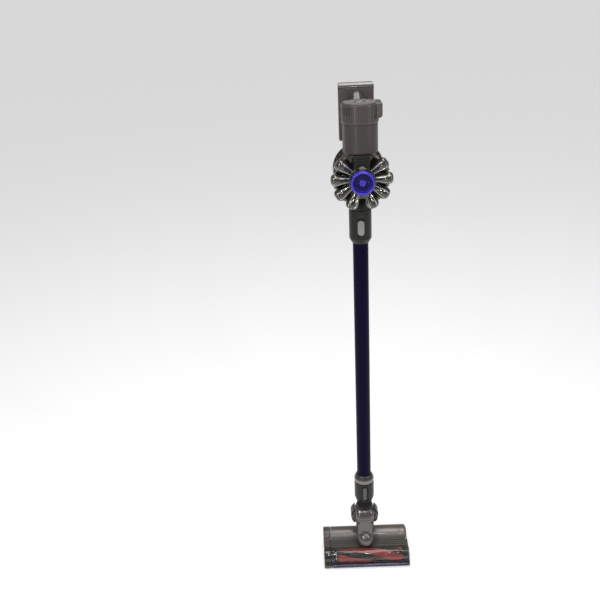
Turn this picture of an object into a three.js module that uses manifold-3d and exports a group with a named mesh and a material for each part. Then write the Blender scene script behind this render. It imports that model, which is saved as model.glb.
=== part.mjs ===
// Cordless stick vacuum: a hand-held machine with a ring of cyclones and a clear bin, a wand, and a
// powered cleaner head that pitches and rolls on its neck. Millimetres, +Z up, the wand on the Z axis,
// the head flat on z = 0, and the filter side of the machine and the brush side of the head facing -Y.
import * as THREE from "three";
import { mergeVertices } from "three/addons/utils/BufferGeometryUtils.js";
import Module from "manifold-3d";

const wasm = await Module();
wasm.setup();

// ---- Driving dimensions ----
const GAP = 0.3; // clearance between touching pieces
const ROUND = 24; // facets round a large cylinder
const SMALL = 12; // facets round a small one

const WAND_RADIUS = 17.5;
const WAND_WALL = 1.4;
const WAND_BOTTOM = 240;
const WAND_TOP = 884;
const COLLAR_RADIUS = 25;
const COLLAR_WALL = 3;
const COLLAR_BOTTOM = 872;
const COLLAR_TOP = 951;
const INLET_TOP = 979;
const RELEASE_Z = 912; // middle of the wand's release button
const RELEASE_SIZE = [15, 35];

const PACK_Z = 1032; // height of the axis that the filter, cyclones and bin share
const CAP_FRONT = -104;
const CAP_BACK = -86;
const CAP_RADIUS = 25;
const HUB_RADIUS = 24;
const CONE_COUNT = 8;
const CONE_STEP = 35; // degrees between neighbouring cones
const FRONT_TIER_Y = -72;
const REAR_TIER_Y = -50;
const BIN_FRONT = -38;
const BIN_BACK = 38;
const BIN_RADIUS = 50;
const FLANGE_RADIUS = 57;
const BIN_WALL = 2;
const FILTER_RADIUS = 13;
const SHROUD_RADIUS = 30;

const MOTOR_Y = -35;
const CASING_RADIUS = 37;
const CASING_BOTTOM = 1084;
const CASING_TOP = 1145;
const CASING_WALL = 2.2;
const EXHAUST_RADIUS = 39;
const EXHAUST_TOP = 1186;

const GRIP_LOW = [0, 4, 1136]; // middle of the grip where it leaves the motor casing
const GRIP_HIGH = [0, 77, 1166]; // middle of the grip where it meets the battery
const BATTERY_FRONT = 77;
const BATTERY_BACK = 104;
const BATTERY_WIDTH = 78;
const BATTERY_BOTTOM = 1083;
const BATTERY_TOP = 1208;
const CELL_RADIUS = 9;
const CELL_LENGTH = 65;

const PITCH_Y = 5;
const PITCH_Z = 110;
const BALL_RADIUS = 33;
const BALL_HALF = 24; // half the width of the ball
const YOKE_HALF = 36; // half the width over the yoke's two hubs
const NOSE_Y = -28;
const NOSE_Z = 55;

const HEAD_HALF = 111.5;
const HEAD_FRONT = -80;
const DRUM_Y = 13; // rear drum that holds the brush motor
const DRUM_Z = 29;
const DRUM_RADIUS = 27;
const BRUSH_Y = -50;
const BRUSH_Z = 19.5;
const CORE_RADIUS = 11;
const BRISTLE_RADIUS = 17.4;
const BRUSH_LOW = -76;
const BRUSH_HIGH = 94;
const DECK_TOP = 38.5;
const END_CAP_WIDTH = 19;

// ---- Solids ----
const rad = THREE.MathUtils.degToRad;

function toSolid(geometry) {
  const bare = geometry.clone();
  bare.deleteAttribute("normal");
  bare.deleteAttribute("uv");
  const merged = mergeVertices(bare, 1e-4);
  return new wasm.Manifold(
    new wasm.Mesh({
      numProp: 3,
      vertProperties: new Float32Array(merged.attributes.position.array),
      triVerts: new Uint32Array(merged.index.array),
    }),
  );
}

function toGeometry(solid) {
  const mesh = solid.getMesh();
  const geometry = new THREE.BufferGeometry();
  geometry.setAttribute("position", new THREE.BufferAttribute(new Float32Array(mesh.vertProperties), 3));
  geometry.setIndex(new THREE.BufferAttribute(new Uint32Array(mesh.triVerts), 1));
  geometry.computeVertexNormals();
  return geometry;
}

const join = (...solids) => solids.reduce((whole, next) => whole.add(next));
const cut = (whole, ...tools) => tools.reduce((rest, tool) => rest.subtract(tool), whole);

// Turns a shape made along Z so that it lies along the named axis, then moves it to a point.
function place(geometry, axis, [x, y, z]) {
  if (axis === "x") geometry.rotateY(Math.PI / 2);
  if (axis === "y") geometry.rotateX(-Math.PI / 2);
  geometry.translate(x, y, z);
  return toSolid(geometry);
}

// A box between two corners.
function block([x0, y0, z0], [x1, y1, z1]) {
  const geometry = new THREE.BoxGeometry(x1 - x0, y1 - y0, z1 - z0);
  return place(geometry, "z", [(x0 + x1) / 2, (y0 + y1) / 2, (z0 + z1) / 2]);
}

// A cylinder or cone along an axis, from `low` to `high` on it; `centre` gives the other two places.
function rod(axis, radius, low, high, centre, sides = ROUND, endRadius = radius) {
  const geometry = new THREE.CylinderGeometry(endRadius, radius, high - low, sides);
  geometry.rotateX(Math.PI / 2);
  const middle = (low + high) / 2;
  const [a, b] = centre;
  const at = { x: [middle, a, b], y: [a, middle, b], z: [a, b, middle] }[axis];
  return place(geometry, axis, at);
}

const tube = (axis, outer, inner, low, high, centre, sides = ROUND) =>
  cut(rod(axis, outer, low, high, centre, sides), rod(axis, inner, low - 1, high + 1, centre, sides));

// A ring turned from a closed outline of [radius, height along the axis].
function turned(axis, outline, centre, sides = ROUND) {
  const points = outline.map(([r, h]) => new THREE.Vector2(r, h));
  if (THREE.ShapeUtils.area(points) < 0) points.reverse();
  if (points[0].x > 0) points.push(points[0].clone());
  const geometry = new THREE.LatheGeometry(points, sides);
  geometry.rotateX(Math.PI / 2);
  const [a, b] = centre;
  const at = { x: [0, a, b], y: [a, 0, b], z: [a, b, 0] }[axis];
  return place(geometry, axis, at);
}

// A plate with rounded corners, w by h, drawn in the plane across `axis`, from `low` to `high` on it.
function plate(axis, w, h, radius, low, high, centre, bevel = 0) {
  const shape = new THREE.Shape();
  const [x, y] = [w / 2 - radius, h / 2 - radius];
  const quarter = Math.PI / 2;
  shape.absarc(x, y, radius, 0, quarter);
  shape.absarc(-x, y, radius, quarter, 2 * quarter);
  shape.absarc(-x, -y, radius, 2 * quarter, 3 * quarter);
  shape.absarc(x, -y, radius, 3 * quarter, 4 * quarter);
  const geometry = new THREE.ExtrudeGeometry(shape, {
    depth: high - low - 2 * bevel,
    bevelEnabled: bevel > 0,
    bevelThickness: bevel,
    bevelSize: bevel,
    bevelOffset: -bevel,
    bevelSegments: 1,
    curveSegments: 3,
  });
  geometry.translate(0, 0, bevel);
  const [a, b] = centre;
  const at = { x: [low, a, b], y: [a, low, b], z: [a, b, low] }[axis];
  return place(geometry, axis, at);
}

// A straight bar between two points in the YZ plane; `halfX` and `halfAcross` are its half sizes.
function strut(from, to, halfX, halfAcross, sides = ROUND) {
  const [start, end] = [new THREE.Vector3(...from), new THREE.Vector3(...to)];
  const along = end.clone().sub(start);
  const geometry = new THREE.CylinderGeometry(1, 1, along.length(), sides);
  geometry.rotateX(Math.PI / 2);
  geometry.scale(halfX, halfAcross, 1);
  const up = new THREE.Vector3(0, 0, 1);
  geometry.applyQuaternion(new THREE.Quaternion().setFromUnitVectors(up, along.normalize()));
  const middle = start.add(end).multiplyScalar(0.5);
  return place(geometry, "z", middle.toArray());
}

function ball(radius, centre, sides = 20) {
  return place(new THREE.SphereGeometry(radius, sides, sides / 2), "z", centre);
}

// A coil spring standing on Z, as a wire of a few turns.
function coil(radius, wire, low, high, turns, [x, y]) {
  const steps = turns * 6;
  const points = [];
  for (let i = 0; i <= steps; i++) {
    const angle = (i / steps) * turns * 2 * Math.PI;
    const height = low + wire + ((high - low - 2 * wire) * i) / steps;
    points.push(new THREE.Vector3(x + radius * Math.cos(angle), y + radius * Math.sin(angle), height));
  }
  const section = new THREE.Shape();
  section.absarc(0, 0, wire, 0, 2 * Math.PI);
  const path = new THREE.CatmullRomCurve3(points);
  const options = { steps, extrudePath: path, curveSegments: 3, bevelEnabled: false };
  return toSolid(new THREE.ExtrudeGeometry(section, options));
}

// An outline in the YZ plane pushed along X.
function profileX(shape, low, high) {
  const geometry = new THREE.ExtrudeGeometry(shape, {
    depth: high - low,
    bevelEnabled: false,
    curveSegments: 8,
  });
  // The shape's x is the object's Y and its y is the object's Z.
  geometry.rotateX(Math.PI / 2);
  geometry.rotateZ(Math.PI / 2);
  geometry.translate(low, 0, 0);
  return toSolid(geometry);
}

// The band round two circles in the YZ plane, as of a belt over its pulleys.
function aroundTwo([y0, z0, r0], [y1, z1, r1]) {
  const reach = Math.hypot(y1 - y0, z1 - z0);
  const heading = Math.atan2(z1 - z0, y1 - y0);
  const lean = Math.acos((r0 - r1) / reach);
  const shape = new THREE.Shape();
  shape.absarc(y1, z1, r1, heading - lean, heading + lean, false);
  shape.absarc(y0, z0, r0, heading + lean, heading - lean + 2 * Math.PI, false);
  shape.closePath();
  return shape;
}

// ---- Finishes ----
const FINISH = {
  darkGrey: [0x4c4646, 0.45, 0.1],
  warmGrey: [0x5a5250, 0.4, 0.1],
  nearBlack: [0x282826, 0.5, 0],
  smoke: [0x40403c, 0.12, 0],
  blue: [0x322db4, 0.35, 0],
  purple: [0x140a36, 0.35, 0.5],
  silver: [0x8c8884, 0.35, 0.2],
  lightGrey: [0x9a9690, 0.4, 0.1],
  red: [0xbe3232, 0.7, 0],
  navy: [0x464164, 0.4, 0],
  black: [0x101010, 0.8, 0],
  steel: [0x9aa0a6, 0.3, 0.9],
  copper: [0xa86a3a, 0.4, 0.7],
  green: [0x1d5c34, 0.6, 0],
  foam: [0xd8d4c8, 0.95, 0],
};

const vacuum = new THREE.Group();

function add(name, solid, finish) {
  const [color, roughness, metalness] = FINISH[finish];
  const material = new THREE.MeshStandardMaterial({ color, roughness, metalness });
  const mesh = new THREE.Mesh(toGeometry(solid), material);
  mesh.name = name;
  vacuum.add(mesh);
}

// ---- Motor, exhaust and boost button ----
const MOTOR_AXIS = [0, MOTOR_Y];
const INTAKE_RADIUS = 11;
const STATOR_RADIUS = 27;
const SHAFT_RADIUS = 2.5;

function motorCasing() {
  const inside = CASING_RADIUS - CASING_WALL;
  const wall = tube("z", CASING_RADIUS, inside, CASING_BOTTOM, CASING_TOP, MOTOR_AXIS);
  const floor = tube("z", CASING_RADIUS, INTAKE_RADIUS, CASING_BOTTOM, CASING_BOTTOM + 3, MOTOR_AXIS);
  const seatTop = CASING_BOTTOM + 22;
  const seat = tube("z", inside + 0.5, STATOR_RADIUS + GAP, seatTop - 3, seatTop, MOTOR_AXIS);
  return join(wall, floor, seat);
}

// The cap is a ribbed drum with a squared vent hood on its right side and slots that let the air out.
function exhaustCap() {
  const [low, high] = [CASING_TOP + GAP, EXHAUST_TOP];
  const drum = rod("z", EXHAUST_RADIUS, low, high, MOTOR_AXIS);
  const hood = plate("z", 26, 50, 7, low + 5, high, [32, MOTOR_Y]);
  const bore = rod("z", EXHAUST_RADIUS - 2.5, low - 1, high - 3, MOTOR_AXIS);
  const well = rod("z", 8.3, low, high + 1, MOTOR_AXIS);
  const slots = [];
  for (let i = 0; i < 9; i++) {
    const slot = block([-45, -1.6, low + 14], [-25, 1.6, high - 8]).rotate([0, 0, -60 + 15 * i]);
    slots.push(slot.translate([0, MOTOR_Y, 0]));
  }
  return cut(join(drum, hood), bore, well, ...slots);
}

function stator() {
  const can = tube("z", STATOR_RADIUS, STATOR_RADIUS - 3, 1098, 1133, MOTOR_AXIS);
  const poles = [0, 1, 2, 3].map((i) =>
    block([11, -4, 1104], [STATOR_RADIUS - 2, 4, 1126]).rotate([0, 0, 90 * i]).translate([0, MOTOR_Y, 0]),
  );
  return join(can, ...poles);
}

function rotorShaft() {
  const shaft = rod("z", SHAFT_RADIUS, 1088.5, 1139, MOTOR_AXIS, SMALL);
  const magnet = rod("z", 9.5, 1104, 1126, MOTOR_AXIS, SMALL);
  return join(shaft, magnet);
}

// A disc with nine curved-back blades, bored to clear the shaft.
function impeller() {
  const disc = rod("z", 22, 1093.5, 1095, MOTOR_AXIS);
  const boss = rod("z", 6, 1089.5, 1095, MOTOR_AXIS, SMALL);
  const blades = [];
  for (let i = 0; i < 9; i++) {
    const blade = block([5, -0.6, 1089.5], [21.5, 0.6, 1094]).rotate([0, 0, 25]).translate([0, 3, 0]);
    blades.push(blade.rotate([0, 0, 40 * i]).translate([0, MOTOR_Y, 0]));
  }
  return cut(join(disc, boss, ...blades), rod("z", SHAFT_RADIUS + GAP, 1080, 1100, MOTOR_AXIS, SMALL));
}

function addMotor() {
  add("motor_casing", motorCasing(), "darkGrey");
  add("exhaust_cap", exhaustCap(), "warmGrey");
  add("motor_stator", stator(), "copper");
  add("rotor_shaft", rotorShaft(), "steel");
  add("impeller", impeller(), "silver");
  add("control_board", tube("z", 30, 5, 1141, 1143, MOTOR_AXIS), "green");
  add("exhaust_foam", tube("z", 35, 12, CASING_TOP + 2, 1156, MOTOR_AXIS), "foam");
  const button = rod("z", 8, EXHAUST_TOP - 7, EXHAUST_TOP + 1.5, MOTOR_AXIS, 24);
  add("boost_button", button, "lightGrey");
}

// ---- Handle, trigger and battery ----
const TRIGGER_Y = 28;
const TRIGGER_TRAVEL = 4;

function grip() {
  const stretch = (point, by) => [0, point[1] + by * 0.925, point[2] + by * 0.38];
  const outer = strut(stretch(GRIP_LOW, -30), stretch(GRIP_HIGH, 10), 17, 20.5, 24);
  const heel = ball(20, [0, 60, 1172], 16);
  const inner = strut(stretch(GRIP_LOW, -40), stretch(GRIP_HIGH, 20), 14.5, 18, 24);
  const motorSide = rod("z", EXHAUST_RADIUS + 8, 1000, 1300, MOTOR_AXIS);
  const batterySide = block([-60, BATTERY_FRONT - GAP, 1000], [60, 160, 1300]);
  const slot = block([-8.5, TRIGGER_Y - 12, 1095], [8.5, TRIGGER_Y + 12, 1140]);
  return cut(join(outer, heel), inner, rod("z", EXHAUST_RADIUS + GAP, 1000, 1300, MOTOR_AXIS), batterySide, slot);
}

function trigger() {
  const blade = plate("y", 16, 26, 5, TRIGGER_Y - 11, TRIGGER_Y + 11, [0, 1119]);
  return blade;
}

function batteryCase() {
  const [half, wall] = [BATTERY_WIDTH / 2, 2.5];
  const middle = (BATTERY_TOP + BATTERY_BOTTOM) / 2;
  const height = BATTERY_TOP - BATTERY_BOTTOM;
  const [front, back] = [BATTERY_FRONT + 3, BATTERY_BACK];
  const outer = plate("y", BATTERY_WIDTH, height, 5, front, back, [0, middle]);
  const hollow = block(
    [wall - half, front - 1, BATTERY_BOTTOM + wall],
    [half - wall, back - wall, BATTERY_TOP - wall],
  );
  const jack = rod("z", 3, BATTERY_BOTTOM - 1, BATTERY_BOTTOM + wall + 1, [0, front + 12], SMALL);
  return cut(outer, hollow, jack);
}

function addHandle() {
  const whole = grip();
  const side = 60;
  const half = (x0, x1) => whole.intersect(block([x0, -60, 1000], [x1, 160, 1300]));
  add("grip_left", half(-side, -GAP / 2), "warmGrey");
  add("grip_right", half(GAP / 2, side), "warmGrey");
  add("trigger", trigger(), "red");
  const springLow = 1132 + GAP;
  add("trigger_spring", coil(3.5, 0.6, springLow, springLow + 7, 4, [0, TRIGGER_Y]), "steel");
  add("battery_case", batteryCase(), "warmGrey");
  const lidHeight = BATTERY_TOP - BATTERY_BOTTOM;
  const lidZ = (BATTERY_TOP + BATTERY_BOTTOM) / 2;
  const lid = plate("y", BATTERY_WIDTH, lidHeight, 5, BATTERY_FRONT, BATTERY_FRONT + 3 - GAP, [0, lidZ]);
  add("battery_lid", lid, "warmGrey");
  const cellY = BATTERY_FRONT + 3 + GAP + CELL_RADIUS + 2;
  const pitch = 2 * CELL_RADIUS + 1.6;
  for (let i = 0; i < 6; i++) {
    const z = lidZ + (i - 2.5) * pitch;
    const cell = rod("x", CELL_RADIUS, -CELL_LENGTH / 2, CELL_LENGTH / 2, [cellY, z], SMALL);
    add(`battery_cell_${i + 1}`, cell, "blue");
  }
}

// ---- Cyclone pack, filter and bin ----
const PACK_AXIS = [0, PACK_Z];
const CONE_FIRST = 23.5; // degrees from straight down to the first cone on each side

// One cone, lying along the radius: narrow at the hub, a full bulb at its tip.
function cone(reach, bulb, y, degrees) {
  const root = HUB_RADIUS + 1;
  const outline = [
    [0, root],
    [bulb * 0.42, root],
    [bulb * 0.75, reach - bulb * 1.9],
    [bulb, reach - bulb],
    [bulb * 0.8, reach - bulb * 0.35],
    [0, reach],
  ];
  const lying = turned("z", outline, [0, 0], 8);
  return lying.rotate([0, 180 - degrees, 0]).translate([0, y, PACK_Z]);
}

function coneTier(y, reach, bulb, angles) {
  const ring = tube("y", HUB_RADIUS + 4, HUB_RADIUS + GAP, y - 9, y + 9, PACK_AXIS);
  return cut(
    join(ring, ...angles.map((degrees) => cone(reach, bulb, y, degrees))),
    rod("y", HUB_RADIUS + GAP, y - 20, y + 20, PACK_AXIS),
  );
}

function bothSides(first, step, count) {
  const angles = [];
  for (let i = 0; i < count; i++) angles.push(first + i * step, -(first + i * step));
  return angles;
}

function filterCap() {
  const outline = [
    [0, CAP_BACK - GAP],
    [CAP_RADIUS - 1, CAP_BACK - GAP],
    [CAP_RADIUS, CAP_BACK - 2],
    [CAP_RADIUS, CAP_FRONT + 2],
    [CAP_RADIUS - 1.5, CAP_FRONT],
    [CAP_RADIUS - 4, CAP_FRONT],
    [CAP_RADIUS - 5.5, CAP_FRONT + 2],
    [CAP_RADIUS - 7, CAP_FRONT + 9],
    [7, CAP_FRONT + 11],
    [6.5, CAP_FRONT + 6],
    [0, CAP_FRONT + 6],
  ];
  const slot = block([-1.5, CAP_FRONT, PACK_Z - 5], [1.5, CAP_FRONT + 8, PACK_Z + 5]);
  return cut(turned("y", outline, PACK_AXIS), slot);
}

function motorInletDuct() {
  const body = plate("z", 36, 36, 6, PACK_Z + 18, CASING_BOTTOM - GAP, [0, -60]);
  const saddle = rod("y", HUB_RADIUS + 4 + GAP, -100, 0, PACK_AXIS);
  const bore = rod("z", 9.5, PACK_Z, CASING_BOTTOM + 5, [0, -52], SMALL);
  return cut(body, saddle, bore);
}

// The catch turns on two stub pins, each held by a lug on top of the bin.
const CATCH_PIVOT = [27, PACK_Z + FLANGE_RADIUS + 2];
const CATCH_HALF = 8; // half the width of the catch
const CATCH_PIN_RADIUS = 1.2;

function catchLug(side) {
  const [y, z] = CATCH_PIVOT;
  const inner = side * (CATCH_HALF + 0.4);
  const outer = side * (CATCH_HALF + 3);
  const tip = side * (CATCH_HALF - 2.5);
  const [x0, x1] = [Math.min(inner, outer), Math.max(inner, outer)];
  const lug = block([x0, y - 3.5, PACK_Z + BIN_RADIUS - 2.5], [x1, y + 3.5, z + 3]);
  const [low, high] = [Math.min(tip, outer), Math.max(tip, outer)];
  return join(lug, rod("x", CATCH_PIN_RADIUS, low, high, CATCH_PIVOT, SMALL));
}

function bin() {
  const front = BIN_FRONT + 3 + GAP;
  const wall = tube("y", BIN_RADIUS, BIN_RADIUS - BIN_WALL, front, BIN_BACK, PACK_AXIS);
  const flange = tube("y", FLANGE_RADIUS, BIN_RADIUS - BIN_WALL, BIN_BACK - 5, BIN_BACK, PACK_AXIS);
  const inlet = rod("z", 13, PACK_Z - 60, PACK_Z - 30, [0, 0], SMALL);
  return cut(join(wall, flange, catchLug(-1), catchLug(1)), inlet);
}

const DOOR_HINGE_Z = PACK_Z - 62;
const DOOR_HINGE_Y = BIN_BACK + 4;

function binDoor() {
  const disc = rod("y", FLANGE_RADIUS - 2, BIN_BACK + GAP, BIN_BACK + 4, PACK_AXIS);
  const knuckle = rod("x", 4, -12, 12, [DOOR_HINGE_Y, DOOR_HINGE_Z], SMALL);
  const web = block([-12, BIN_BACK + GAP, DOOR_HINGE_Z], [12, BIN_BACK + 4, PACK_Z - 50]);
  return cut(join(disc, knuckle, web), rod("x", 1.8, -20, 20, [DOOR_HINGE_Y, DOOR_HINGE_Z], SMALL));
}

// The catch rocks on the flange and hooks over the top of the door.
function binCatch() {
  const [y, z] = [BIN_BACK + 1, PACK_Z + FLANGE_RADIUS];
  const arm = block([-CATCH_HALF, y - 16, z + 0.6], [CATCH_HALF, y + 6, z + 3.4]);
  const hook = block([-CATCH_HALF, y + 3.6, z - 1.6], [CATCH_HALF, y + 6, z + 1]);
  const barrel = rod("x", 2.9, -CATCH_HALF, CATCH_HALF, CATCH_PIVOT, SMALL);
  const holes = rod("x", CATCH_PIN_RADIUS + GAP, -20, 20, CATCH_PIVOT, SMALL);
  const web = block([-CATCH_HALF + 2.8, 0, 0], [CATCH_HALF - 2.8, 60, 2000]);
  return cut(join(arm, hook, barrel), cut(holes, web));
}

function addCyclonePack() {
  add("motor_inlet_duct", motorInletDuct(), "darkGrey");
  const hub = tube("y", HUB_RADIUS, FILTER_RADIUS + GAP, CAP_BACK + GAP, BIN_FRONT - GAP, PACK_AXIS);
  add("cyclone_hub", cut(hub, rod("z", 9.5, PACK_Z, PACK_Z + 60, [0, -52], SMALL)), "smoke");
  const front = coneTier(FRONT_TIER_Y, 66, 12, bothSides(CONE_FIRST, CONE_STEP, CONE_COUNT / 2));
  add("cyclone_cones_front", front, "smoke");
  const rear = coneTier(REAR_TIER_Y, 62, 11, bothSides(CONE_FIRST + CONE_STEP / 2, CONE_STEP, 3));
  add("cyclone_cones_rear", rear, "smoke");
  const base = tube("y", BIN_RADIUS, FILTER_RADIUS + GAP, BIN_FRONT, BIN_FRONT + 3, PACK_AXIS);
  add("cyclone_base", base, "smoke");
  add("filter_cap", filterCap(), "blue");
  add("filter_stick", tube("y", FILTER_RADIUS, 9, CAP_BACK, -4, PACK_AXIS, 20), "foam");
  add("shroud", tube("y", SHROUD_RADIUS, SHROUD_RADIUS - 1.2, BIN_FRONT + 3 + GAP, 6, PACK_AXIS), "steel");
  add("bin", bin(), "smoke");
  add("bin_door", binDoor(), "smoke");
  add("bin_hinge_pin", rod("x", 1.5, -16, 16, [DOOR_HINGE_Y, DOOR_HINGE_Z], SMALL), "steel");
  add("bin_catch", binCatch(), "red");
}

// ---- Inlet neck, wand and its release buttons ----
const WAND_AXIS = [0, 0];
const SPIGOT_RADIUS = 16;
const SPIGOT_BORE = 13;
const BUTTON_TRAVEL = 1.6;
const POCKET_FLOOR = -18.4;

function machineInlet() {
  const neck = tube("z", COLLAR_RADIUS, SPIGOT_BORE, COLLAR_TOP + GAP, PACK_Z - 40, WAND_AXIS);
  const spigot = tube("z", SPIGOT_RADIUS, SPIGOT_BORE, COLLAR_TOP - 44, COLLAR_TOP + 1, WAND_AXIS);
  const saddle = rod("y", BIN_RADIUS + GAP, -60, 60, PACK_AXIS);
  return cut(join(neck, spigot), saddle);
}

// The pocket that a release button sits in, cut from the front of a collar.
function buttonPocket(width, height, z) {
  return plate("y", width + 2 * GAP, height + 2 * GAP, width / 2 - 0.2, -30, POCKET_FLOOR, [0, z]);
}

function releaseButton(width, height, z) {
  const back = POCKET_FLOOR - GAP - BUTTON_TRAVEL;
  return plate("y", width, height, width / 2 - 0.5, -COLLAR_RADIUS - 1.2, back, [0, z]);
}

function upperCollar() {
  const socket = WAND_RADIUS + GAP;
  const shoulder = WAND_TOP + GAP;
  const outline = [
    [socket, COLLAR_BOTTOM],
    [socket + 1.5, COLLAR_BOTTOM],
    [COLLAR_RADIUS, COLLAR_BOTTOM + 11],
    [COLLAR_RADIUS, COLLAR_TOP],
    [SPIGOT_RADIUS + GAP, COLLAR_TOP],
    [SPIGOT_RADIUS + GAP, shoulder],
    [socket, shoulder],
  ];
  return cut(turned("z", outline, WAND_AXIS), buttonPocket(...RELEASE_SIZE, RELEASE_Z));
}

// The light ring on the bottom of the wand, with the spigot that plugs into the cleaner head.
const END_RING_LOW = 224;
function wandLowerEnd() {
  const socket = WAND_RADIUS + GAP;
  const outline = [
    [SPIGOT_BORE, 180],
    [SPIGOT_RADIUS, 180],
    [SPIGOT_RADIUS, END_RING_LOW],
    [COLLAR_RADIUS, END_RING_LOW],
    [COLLAR_RADIUS, END_RING_LOW + 10],
    [socket + 2, WAND_BOTTOM + 5],
    [socket, WAND_BOTTOM + 5],
    [socket, WAND_BOTTOM - GAP],
    [SPIGOT_BORE, WAND_BOTTOM - GAP],
  ];
  return turned("z", outline, WAND_AXIS);
}

const HEAD_BUTTON_Z = 196;
const HEAD_BUTTON_SIZE = [10, 38];
const HEAD_COLLAR_LOW = 161;
function headCollar() {
  const outline = [
    [SPIGOT_BORE, HEAD_COLLAR_LOW],
    [20.5, HEAD_COLLAR_LOW],
    [COLLAR_RADIUS, HEAD_COLLAR_LOW + 14],
    [COLLAR_RADIUS, END_RING_LOW - GAP],
    [SPIGOT_RADIUS + GAP, END_RING_LOW - GAP],
    [SPIGOT_RADIUS + GAP, 180 - GAP],
    [SPIGOT_BORE, 180 - GAP],
  ];
  return cut(turned("z", outline, WAND_AXIS), buttonPocket(...HEAD_BUTTON_SIZE, HEAD_BUTTON_Z));
}

function addWand() {
  add("machine_inlet", machineInlet(), "nearBlack");
  add("wand_upper_collar", upperCollar(), "nearBlack");
  add("wand_release_button", releaseButton(...RELEASE_SIZE, RELEASE_Z), "silver");
  add("wand_tube", tube("z", WAND_RADIUS, WAND_RADIUS - WAND_WALL, WAND_BOTTOM, WAND_TOP, WAND_AXIS), "purple");
  add("wand_wire_channel", block([-3.5, 11.5, WAND_BOTTOM + 2], [3.5, 15.3, WAND_TOP - 1]), "black");
  add("wand_lower_end", wandLowerEnd(), "lightGrey");
  add("head_collar", headCollar(), "nearBlack");
  add("head_release_button", releaseButton(...HEAD_BUTTON_SIZE, HEAD_BUTTON_Z), "silver");
}

// ---- Neck: yoke on the collar, ball and elbow that pitch in it ----
const YOKE_TOP = 149;
const YOKE_LOW = PITCH_Z + BALL_RADIUS + 1;
const NOSE_RADIUS = 21;
const PIN_RADIUS = 6;
const HUB_DISC_RADIUS = 20;

function yoke() {
  const bridge = block([-YOKE_HALF, PITCH_Y - 13, YOKE_LOW - 3], [YOKE_HALF, PITCH_Y + 13, YOKE_TOP]);
  const arm = (x0, x1) =>
    join(
      rod("x", HUB_DISC_RADIUS, x0, x1, [PITCH_Y, PITCH_Z]),
      block([x0, PITCH_Y - 16, PITCH_Z], [x1, PITCH_Y + 16, YOKE_TOP]),
    );
  const inner = BALL_HALF + 0.6;
  const frame = join(bridge, arm(-YOKE_HALF, -inner), arm(inner, YOKE_HALF));
  const crown = rod("y", 42.5, -60, 60, [0, PITCH_Z - 2], 32);
  const ballRoom = rod("x", BALL_RADIUS + 0.8, -inner, inner, [PITCH_Y, PITCH_Z]);
  const ring = rod("z", 20.5, YOKE_LOW + 0.5, YOKE_TOP, WAND_AXIS);
  const pins = rod("x", PIN_RADIUS, -YOKE_HALF + 1, YOKE_HALF - 1, [PITCH_Y, PITCH_Z], SMALL);
  const pinRoom = block([-BALL_HALF + 7, -60, 0], [BALL_HALF - 7, 60, 300]);
  const body = cut(join(frame.intersect(crown), ring), ballRoom, rod("z", SPIGOT_BORE, 100, 200, WAND_AXIS));
  return join(body, cut(pins, pinRoom));
}

function elbow() {
  const outline = [
    [0, -BALL_HALF],
    [23, -BALL_HALF],
    [30, -BALL_HALF + 6],
    [BALL_RADIUS, 0],
    [30, BALL_HALF - 6],
    [23, BALL_HALF],
    [0, BALL_HALF],
  ];
  const top = [0, PITCH_Y, PITCH_Z];
  const nose = [0, NOSE_Y, NOSE_Z];
  const shell = join(
    turned("x", outline, [PITCH_Y, PITCH_Z]),
    strut(top, nose, NOSE_RADIUS, NOSE_RADIUS, ROUND),
    ball(NOSE_RADIUS, nose, 16),
  );
  const duct = strut(top, nose, 13, 13, SMALL);
  const outlet = rod("z", 11, 0, NOSE_Z, [0, NOSE_Y], SMALL);
  const inlet = rod("z", 11, PITCH_Z, 200, [0, PITCH_Y], SMALL);
  const pins = rod("x", PIN_RADIUS + GAP, -60, 60, [PITCH_Y, PITCH_Z], SMALL);
  const pinWeb = block([-BALL_HALF + 8, -60, 0], [BALL_HALF - 8, 60, 300]);
  return cut(shell, duct, outlet, inlet, cut(pins, pinWeb));
}

function addNeck() {
  const seal = tube("z", 19.5, SPIGOT_BORE, YOKE_TOP + GAP, HEAD_COLLAR_LOW - GAP, WAND_AXIS);
  add("neck_seal_ring", seal, "black");
  add("yoke", yoke(), "nearBlack");
  add("elbow", elbow(), "silver");
}

// ---- Cleaner head ----
const DRUM = [DRUM_Y, DRUM_Z];
const BRUSH = [BRUSH_Y, BRUSH_Z];
const SHELL_WALL = 2;
const SOLE_TOP = 3;
const WINDOW_RADIUS = 20.4;
const INNER_LEFT = END_CAP_WIDTH - HEAD_HALF; // right face of the left end cap
const LIP_TOP = 12;
const LIP_BACK = -70;
const WHEEL = [35, 5];

// Side view of the whole head: round over the drum and over the brush, flat below.
function headOutline(inset) {
  const drumRadius = DRUM_RADIUS - inset;
  const windowRadius = WINDOW_RADIUS - inset;
  const shape = new THREE.Shape();
  shape.moveTo(HEAD_FRONT + inset + 2, SOLE_TOP + GAP + inset);
  shape.lineTo(DRUM_Y + drumRadius * 0.3, SOLE_TOP + GAP + inset);
  shape.absarc(DRUM_Y, DRUM_Z, drumRadius, rad(-60), rad(150), false);
  shape.lineTo(DRUM_Y - 27, DECK_TOP - inset);
  shape.absarc(BRUSH_Y, BRUSH_Z, windowRadius, rad(62), rad(185), false);
  shape.lineTo(HEAD_FRONT + inset + 2, LIP_TOP - inset);
  shape.closePath();
  return shape;
}

// Room for the nose of the elbow, which turns in the head.
const noseRoom = () => ball(NOSE_RADIUS + 0.6, [0, NOSE_Y, NOSE_Z], 16);

function drum() {
  const wall = tube("x", DRUM_RADIUS, DRUM_RADIUS - SHELL_WALL, INNER_LEFT + GAP, HEAD_HALF, DRUM);
  const end = rod("x", DRUM_RADIUS, HEAD_HALF - 3, HEAD_HALF, DRUM);
  const under = block([-200, -60, -10], [200, 60, SOLE_TOP + GAP]);
  return cut(join(wall, end), under, noseRoom());
}

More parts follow.
